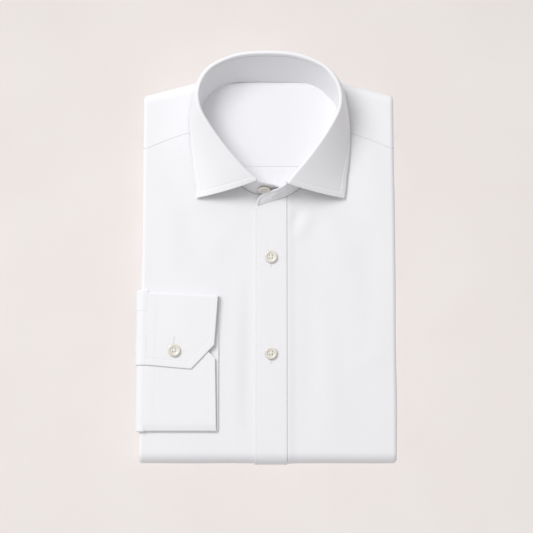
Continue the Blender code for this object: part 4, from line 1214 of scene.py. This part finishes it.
def make_cuff(shirt):
    seam_x = cuff_seam_x(CUFF_SEAM_MIDDLE_Y)
    width = CUFF_HEM_OVER[0] - seam_x
    shares = 1 - from_edge(width, FINE, CUFF_FINE, 46)[::-1] / width
    mitre = (CUFF_MITRE_X - seam_x) / width
    shares[np.abs(shares - mitre).argmin()] = mitre
    strips = []
    for v in shares:
        strip = []
        for y, out, hem_x in cuff_path(v):
            x = lerp(cuff_seam_x(y), hem_x, v)
            strip.append((x, y, face_z(x, y, out)))
        strips.append(strip)
    grid = from_columns(strips)
    count, wide = grid.shape[:2]
    corner = (CUFF_MITRE_X, CUFF_OVER_END_Y[1])
    over_end = np.minimum(
        line_distance(grid, (seam_x, CUFF_OVER_END_Y[0]), corner),
        line_distance(grid, corner, (CUFF_HEM_OVER[0], CUFF_OVER_MITRE_Y)),
    )
    corner = (CUFF_MITRE_X, CUFF_UNDER_END_Y)
    under_end = np.minimum(
        line_distance(grid, corner, (seam_x, CUFF_UNDER_END_Y)),
        line_distance(grid, (CUFF_HEM_UNDER[1], CUFF_UNDER_MITRE_Y), corner),
    )
    hem_away = lengths_back(grid, 1)
    end_away = np.full(hem_away.shape, CUFF_HIGH_Y)
    end_away[:CUFF_FACE_ROWS] = under_end[:CUFF_FACE_ROWS]
    end_away[-CUFF_FACE_ROWS:] = over_end[-CUFF_FACE_ROWS:]
    seam_away = lengths(grid, 1)
    height = CUFF_BORDER_SHARE * border(np.minimum(end_away, hem_away), CUFF_LINE)
    height += puckers(lengths(grid, 0), hem_away, CUFF_LINE) + puckers(seam_away, end_away, CUFF_LINE)
    height += CUFF_SEAM_SHARE * border(seam_away, CUFF_SEAM_LINE)
    grid = raised(grid, height)
    columns = np.linspace(0, wide - 1, 400)
    level = level_rows(end_away[-CUFF_FACE_ROWS:], CUFF_LINE)
    rows = count - CUFF_FACE_ROWS + np.interp(columns, np.arange(wide), level)
    shirt.sew("cuff_stitching", grid, False, rows, columns, away=hem_away, line=CUFF_LINE)
    rows = np.linspace(0, count - 1, 1200)
    for level in (level_rows(hem_away.T, CUFF_LINE), level_rows(-seam_away.T, -CUFF_SEAM_LINE)):
        columns = np.interp(rows, np.arange(count), level)
        shirt.sew("cuff_stitching", grid, False, rows, columns, -THREAD / 4, end_away, CUFF_LINE)
    shirt.work_flat_hole(*BUTTON_SPOTS[-1], CUFF_SLIT, CUFF_OVER_OUT)
    cloth(
        shirt, "cuff", grid, CUFF_CLOTH, "interlined", rounding=SEAM_ROUNDING
    )


def make_folded_layer(shirt, name, low, high):
    """One of the two turned sleeves inside: a flat tube whose round folds show between the side folds."""
    middle, half = (low + high) / 2, (high - low) / 2
    rings = []
    for y in np.linspace(LAYER_LOW_Y, LAYER_HIGH_Y, 110):
        ring = []
        above_sleeve = smooth((y - SLEEVE_HIGH_Y) / LAYER_EASE - 0.5)
        beside_sleeve = smooth((y - SLEEVE_LOW_Y) / LAYER_EASE + 1.5) * (1 - above_sleeve)
        for side in (1, -1):
            reach = fold_start(side, y) + side * LAYER_OUT
            if side < 0:
                reach += LAYER_INSET * beside_sleeve
            for turn in np.linspace(LAYER_ROUND, -LAYER_ROUND, 13) * side:
                x = reach - side * half * (1 - math.cos(turn))
                ring.append((x, y, middle + half * math.sin(turn)))
        rings.append(ring)
    cloth(shirt, "folded_layers", np.array(rings), THIN_CLOTH, name=name, flip=True, ring=True)


# Buttons


def button_mesh():
    """A four-hole shirt button, turned with a raised rim and a dished middle, standing on the origin."""
    profile = np.array(BUTTON_PROFILE) * (BUTTON_RADIUS, BUTTON_THICKNESS)
    turns = np.arange(BUTTON_SIDES) * 2 * math.pi / BUTTON_SIDES
    shape = bmesh.new()
    rings = []
    for radius, z in profile:
        if radius == 0.0:
            rings.append([shape.verts.new((0.0, 0.0, z))] * BUTTON_SIDES)
        else:
            rings.append([shape.verts.new((radius * math.cos(a), radius * math.sin(a), z)) for a in turns])
    for upper, lower in zip(rings, rings[1:]):
        for k in range(BUTTON_SIDES):
            after = (k + 1) % BUTTON_SIDES
            corners = (upper[k], lower[k], lower[after], upper[after])
            shape.faces.new(list(dict.fromkeys(corners)))
    mesh = bpy.data.meshes.new("button")
    shape.to_mesh(mesh)
    shape.free()
    cutters = bmesh.new()
    for corner in hole_places():
        made = bmesh.ops.create_cone(
            cutters,
            cap_ends=True,
            segments=BUTTON_HOLE_SIDES,
            radius1=BUTTON_HOLE_RADIUS,
            radius2=BUTTON_HOLE_RADIUS,
            depth=4 * BUTTON_THICKNESS,
        )
        bmesh.ops.translate(cutters, verts=made["verts"], vec=corner)
    cutter_mesh = bpy.data.meshes.new("holes")
    cutters.to_mesh(cutter_mesh)
    cutters.free()
    blank = placed("blank", mesh)
    cutter = placed("holes", cutter_mesh)
    drilled = blank.modifiers.new("drilled", "BOOLEAN")
    drilled.object = cutter
    drilled.operation = "DIFFERENCE"
    bpy.context.view_layer.update()
    graph = bpy.context.evaluated_depsgraph_get()
    found = bpy.data.meshes.new_from_object(blank.evaluated_get(graph))
    for made in (blank, cutter):
        bpy.data.objects.remove(made, do_unlink=True)
    return found


def hole_places():
    """The middles of the button's holes, going round."""
    spread = BUTTON_HOLE_SPREAD
    return [Vector((x * spread, y * spread, 0.0)) for x, y in ((1, 1), (-1, 1), (-1, -1), (1, -1))]


def collar_button_seat():
    """Where the collar button is sewn on the end of the stand that lies under, and the way it faces."""
    sections = stand_sections()
    stations = np.linspace(0, len(UNDER_END), 60)
    s = min(stations, key=lambda v: abs(along(sections, v)[0].x - COLLAR_BUTTON_X))
    neck, fold = along(sections, s)
    ahead = along(sections, s + STATION_STEP)[0] - along(sections, s - STATION_STEP)[0]
    normal = ahead.cross(fold - neck).normalized()
    if normal.y > 0:
        normal.negate()
    return neck.lerp(fold, COLLAR_BUTTON_UP) + normal * 2 * GAP, normal


def make_buttons(shirt):
    seats = {}
    for number, y in enumerate(FRONT_BUTTONS_Y, start=1):
        seat = Vector((0.0, y, top_height(0.0, y) + PLACKET_OUT + GAP))
        seats[f"button_front_{number}"] = (seat, Vector(UP))
    spot = BUTTON_SPOTS[-1]
    seats["button_cuff"] = (Vector((spot.x, spot.y, top_height(*spot) + CUFF_OVER_OUT + GAP)), Vector(UP))
    seats["button_collar"] = collar_button_seat()
    shape = button_mesh()
    threads = []
    for node, (seat, normal) in seats.items():
        place = Matrix.Translation(seat) @ normal.to_track_quat("Z", "Y").to_matrix().to_4x4()
        mesh = shape.copy()
        mesh.transform(Matrix.Translation(Vector(shirt.offset)) @ place)
        mesh.shade_smooth()
        mesh.set_sharp_from_angle(angle=BUTTON_SHARP)
        made = placed(node + "_pearl", mesh)
        mesh.materials.clear()
        mesh.materials.append(shirt.materials["pearl"])
        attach(made, "root")
        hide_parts(node)
        threads += button_threads(place, normal)
    add_threads(shirt, "button_thread", threads, BUTTON_THREAD)


def button_threads(place, normal):
    """Two crossed bundles of thread from hole to hole over a button's middle."""
    holes = hole_places()
    runs = []
    for a, b in ((holes[0], holes[2]), (holes[1], holes[3])):
        sideways = (b - a).normalized().cross(Vector(UP))
        for step in (-1, 0, 1):
            shift = sideways * step * BUTTON_THREAD_SPREAD * BUTTON_THREAD
            shift += Vector(UP) * BUTTON_THREAD_UP * BUTTON_THICKNESS
            start, end = place @ (a + shift), place @ (b + shift)
            runs.append((np.array([start]), np.array([end]), np.array([normal])))
    return runs


# Shader nodes


def new_material(name, roughness, sheen):
    made = bpy.data.materials.new(name)
    made.use_nodes = True
    tree = made.node_tree
    shader = tree.nodes["Principled BSDF"]
    shader.inputs["Roughness"].default_value = roughness
    shader.inputs["Sheen Weight"].default_value = sheen
    return made, tree, shader


def math_node(tree, operation, first, second):
    """A Math node on a socket or a number, as its output socket."""
    node = tree.nodes.new("ShaderNodeMath")
    node.operation = operation
    for socket, value in zip(node.inputs, (first, second)):
        if isinstance(value, (int, float)):
            socket.default_value = value
        else:
            tree.links.new(value, socket)
    return node.outputs["Value"]


def noise_node(tree, vector, scale, detail):
    node = tree.nodes.new("ShaderNodeTexNoise")
    node.inputs["Scale"].default_value = scale
    node.inputs["Detail"].default_value = detail
    tree.links.new(vector, node.inputs["Vector"])
    return node.outputs["Fac"]


def ramp_node(tree, factor, low, high, dark, light):
    """Colours between dark and light as the factor goes from low to high."""
    node = tree.nodes.new("ShaderNodeMapRange")
    node.inputs["From Min"].default_value = low
    node.inputs["From Max"].default_value = high
    tree.links.new(factor, node.inputs["Value"])
    mix = tree.nodes.new("ShaderNodeMix")
    mix.data_type = "RGBA"
    tree.links.new(node.outputs["Result"], mix.inputs["Factor"])
    mix.inputs["A"].default_value = (*dark, 1.0)
    mix.inputs["B"].default_value = (*light, 1.0)
    return mix.outputs["Result"]


# Materials


def poplin(name, colour, roughness):
    """Plain-woven cotton: crossing yarns as bump, with slubs and slight unevenness of colour."""
    made, tree, shader = new_material(name, roughness, COTTON_SHEEN)
    cloth_node = tree.nodes.new("ShaderNodeAttribute")
    cloth_node.attribute_name = "cloth"
    parts = tree.nodes.new("ShaderNodeSeparateXYZ")
    tree.links.new(cloth_node.outputs["Vector"], parts.inputs["Vector"])
    waves = []
    for axis in ("X", "Y"):
        turned = math_node(tree, "MULTIPLY", parts.outputs[axis], math.pi / YARN)
        waves.append(math_node(tree, "SINE", turned, 0.0))
    weave = math_node(tree, "ABSOLUTE", math_node(tree, "MULTIPLY", *waves), 0.0)
    slubs = []
    for stretch in ((1.0, SLUB_STRETCH, 1.0), (SLUB_STRETCH, 1.0, 1.0)):
        scaled = tree.nodes.new("ShaderNodeMapping")
        scaled.inputs["Scale"].default_value = stretch
        tree.links.new(cloth_node.outputs["Vector"], scaled.inputs["Vector"])
        slubs.append(noise_node(tree, scaled.outputs["Vector"], SLUB_SCALE, 2.0))
    uneven = math_node(tree, "MULTIPLY", math_node(tree, "ADD", *slubs), 0.5)
    height = math_node(tree, "ADD", math_node(tree, "MULTIPLY", weave, WEAVE_SHARE), uneven)
    bump = tree.nodes.new("ShaderNodeBump")
    bump.inputs["Strength"].default_value = WEAVE_STRENGTH
    bump.inputs["Distance"].default_value = WEAVE_DEPTH
    tree.links.new(height, bump.inputs["Height"])
    tree.links.new(bump.outputs["Normal"], shader.inputs["Normal"])
    dark = tuple(c * SHADE for c in colour)
    tree.links.new(ramp_node(tree, uneven, 0.35, 0.65, dark, colour), shader.inputs["Base Color"])
    return made


def mottled(name, roughness, sheen, scale, detail, low, high, colours):
    """A material that drifts softly between two shades, with its shader."""
    made, tree, shader = new_material(name, roughness, sheen)
    place = tree.nodes.new("ShaderNodeTexCoord").outputs["Object"]
    noise = noise_node(tree, place, scale, detail)
    tree.links.new(ramp_node(tree, noise, low, high, *colours), shader.inputs["Base Color"])
    return made, shader


def thread_material():
    return mottled("thread", 0.55, 0.2, 2600.0, 2.0, 0.3, 0.7, THREAD_COLOURS)[0]


def pearl_material():
    """Cream shell: soft cloudy bands under a clear polish."""
    made, shader = mottled("pearl", 0.22, 0.0, 110.0, 2.0, 0.3, 0.7, PEARL_COLOURS)
    shader.inputs["Coat Weight"].default_value = 0.5
    shader.inputs["Coat Roughness"].default_value = 0.10
    return made


def floor_material():
    return mottled("floor", 0.9, 0.0, 9.0, 5.0, 0.35, 0.65, FLOOR_COLOURS)[0]


# Light and camera


def make_stage():
    bpy.ops.mesh.primitive_plane_add(size=FLOOR_SIZE)
    floor = bpy.context.object
    floor.name = "floor"
    floor.data.materials.append(floor_material())
    return floor


def only(floor, name, state):
    """A linking collection that takes in, or leaves out, the floor alone."""
    made = bpy.data.collections.new(name)
    made.objects.link(floor)
    made.collection_objects[0].light_linking.link_state = state
    return made


def add_light(name, light):
    data = bpy.data.lights.new(name, "AREA")
    data.size = light.size
    data.energy = light.power
    made = placed(name, data)
    made.location = light.place
    made.rotation_euler = (-Vector(light.place)).to_track_quat("-Z", "Y").to_euler()
    return made


def light_scene(floor):
    """A large soft light from the upper left, one that lights the floor alone, and a bright surround."""
    key = add_light("key", KEY)
    key.light_linking.receiver_collection = only(floor, "all_but_floor", "EXCLUDE")
    floor_key = add_light("floor_key", FLOOR_KEY)
    floor_key.light_linking.receiver_collection = only(floor, "floor_lit", "INCLUDE")
    floor_key.light_linking.blocker_collection = only(floor, "floor_shades", "INCLUDE")
    world = bpy.data.worlds.new("world")
    world.use_nodes = True
    surround = world.node_tree.nodes["Background"]
    surround.inputs["Color"].default_value = WORLD_COLOUR
    surround.inputs["Strength"].default_value = WORLD_STRENGTH
    bpy.context.scene.world = world
    bpy.context.scene.view_settings.view_transform = "Standard"


def make_camera(shirt):
    data = bpy.data.cameras.new("camera")
    data.sensor_width = SENSOR
    data.lens = FOCAL
    made = placed("camera", data)
    target = Vector(TARGET) + Vector(shirt.offset)
    back = Vector((0.0, -math.cos(VIEW_ELEVATION), math.sin(VIEW_ELEVATION)))
    made.location = target + back * VIEW_DISTANCE
    made.rotation_euler = back.to_track_quat("Z", "Y").to_euler()
    bpy.context.scene.camera = made


def main():
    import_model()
    shirt = Shirt()
    shirt.materials["poplin"] = poplin("poplin", COTTON_COLOUR, 0.78)
    shirt.materials["interlined"] = poplin("interlined_poplin", INTERLINED_COLOUR, 0.72)
    shirt.materials["thread"] = thread_material()
    shirt.materials["pearl"] = pearl_material()
    make_front(shirt, "front_right", -1, RIGHT_FRONT_INNER)
    make_front(shirt, "front_left", 1, LEFT_FRONT_INNER)
    make_placket(shirt)
    make_yoke(shirt)
    make_inner_yoke(shirt)
    make_back(shirt)
    make_collar_stand(shirt)
    make_collar_leaf(shirt)
    make_sleeve(shirt)
    make_sleeve_placket(shirt)
    make_cuff(shirt)
    for name, heights in LAYERS.items():
        make_folded_layer(shirt, name, *heights)
    make_buttons(shirt)
    for name, runs in shirt.sewing.items():
        add_threads(shirt, name, runs, SATIN_THREAD if name == "buttonholes" else THREAD)
    light_scene(make_stage())
    make_camera(shirt)


main()
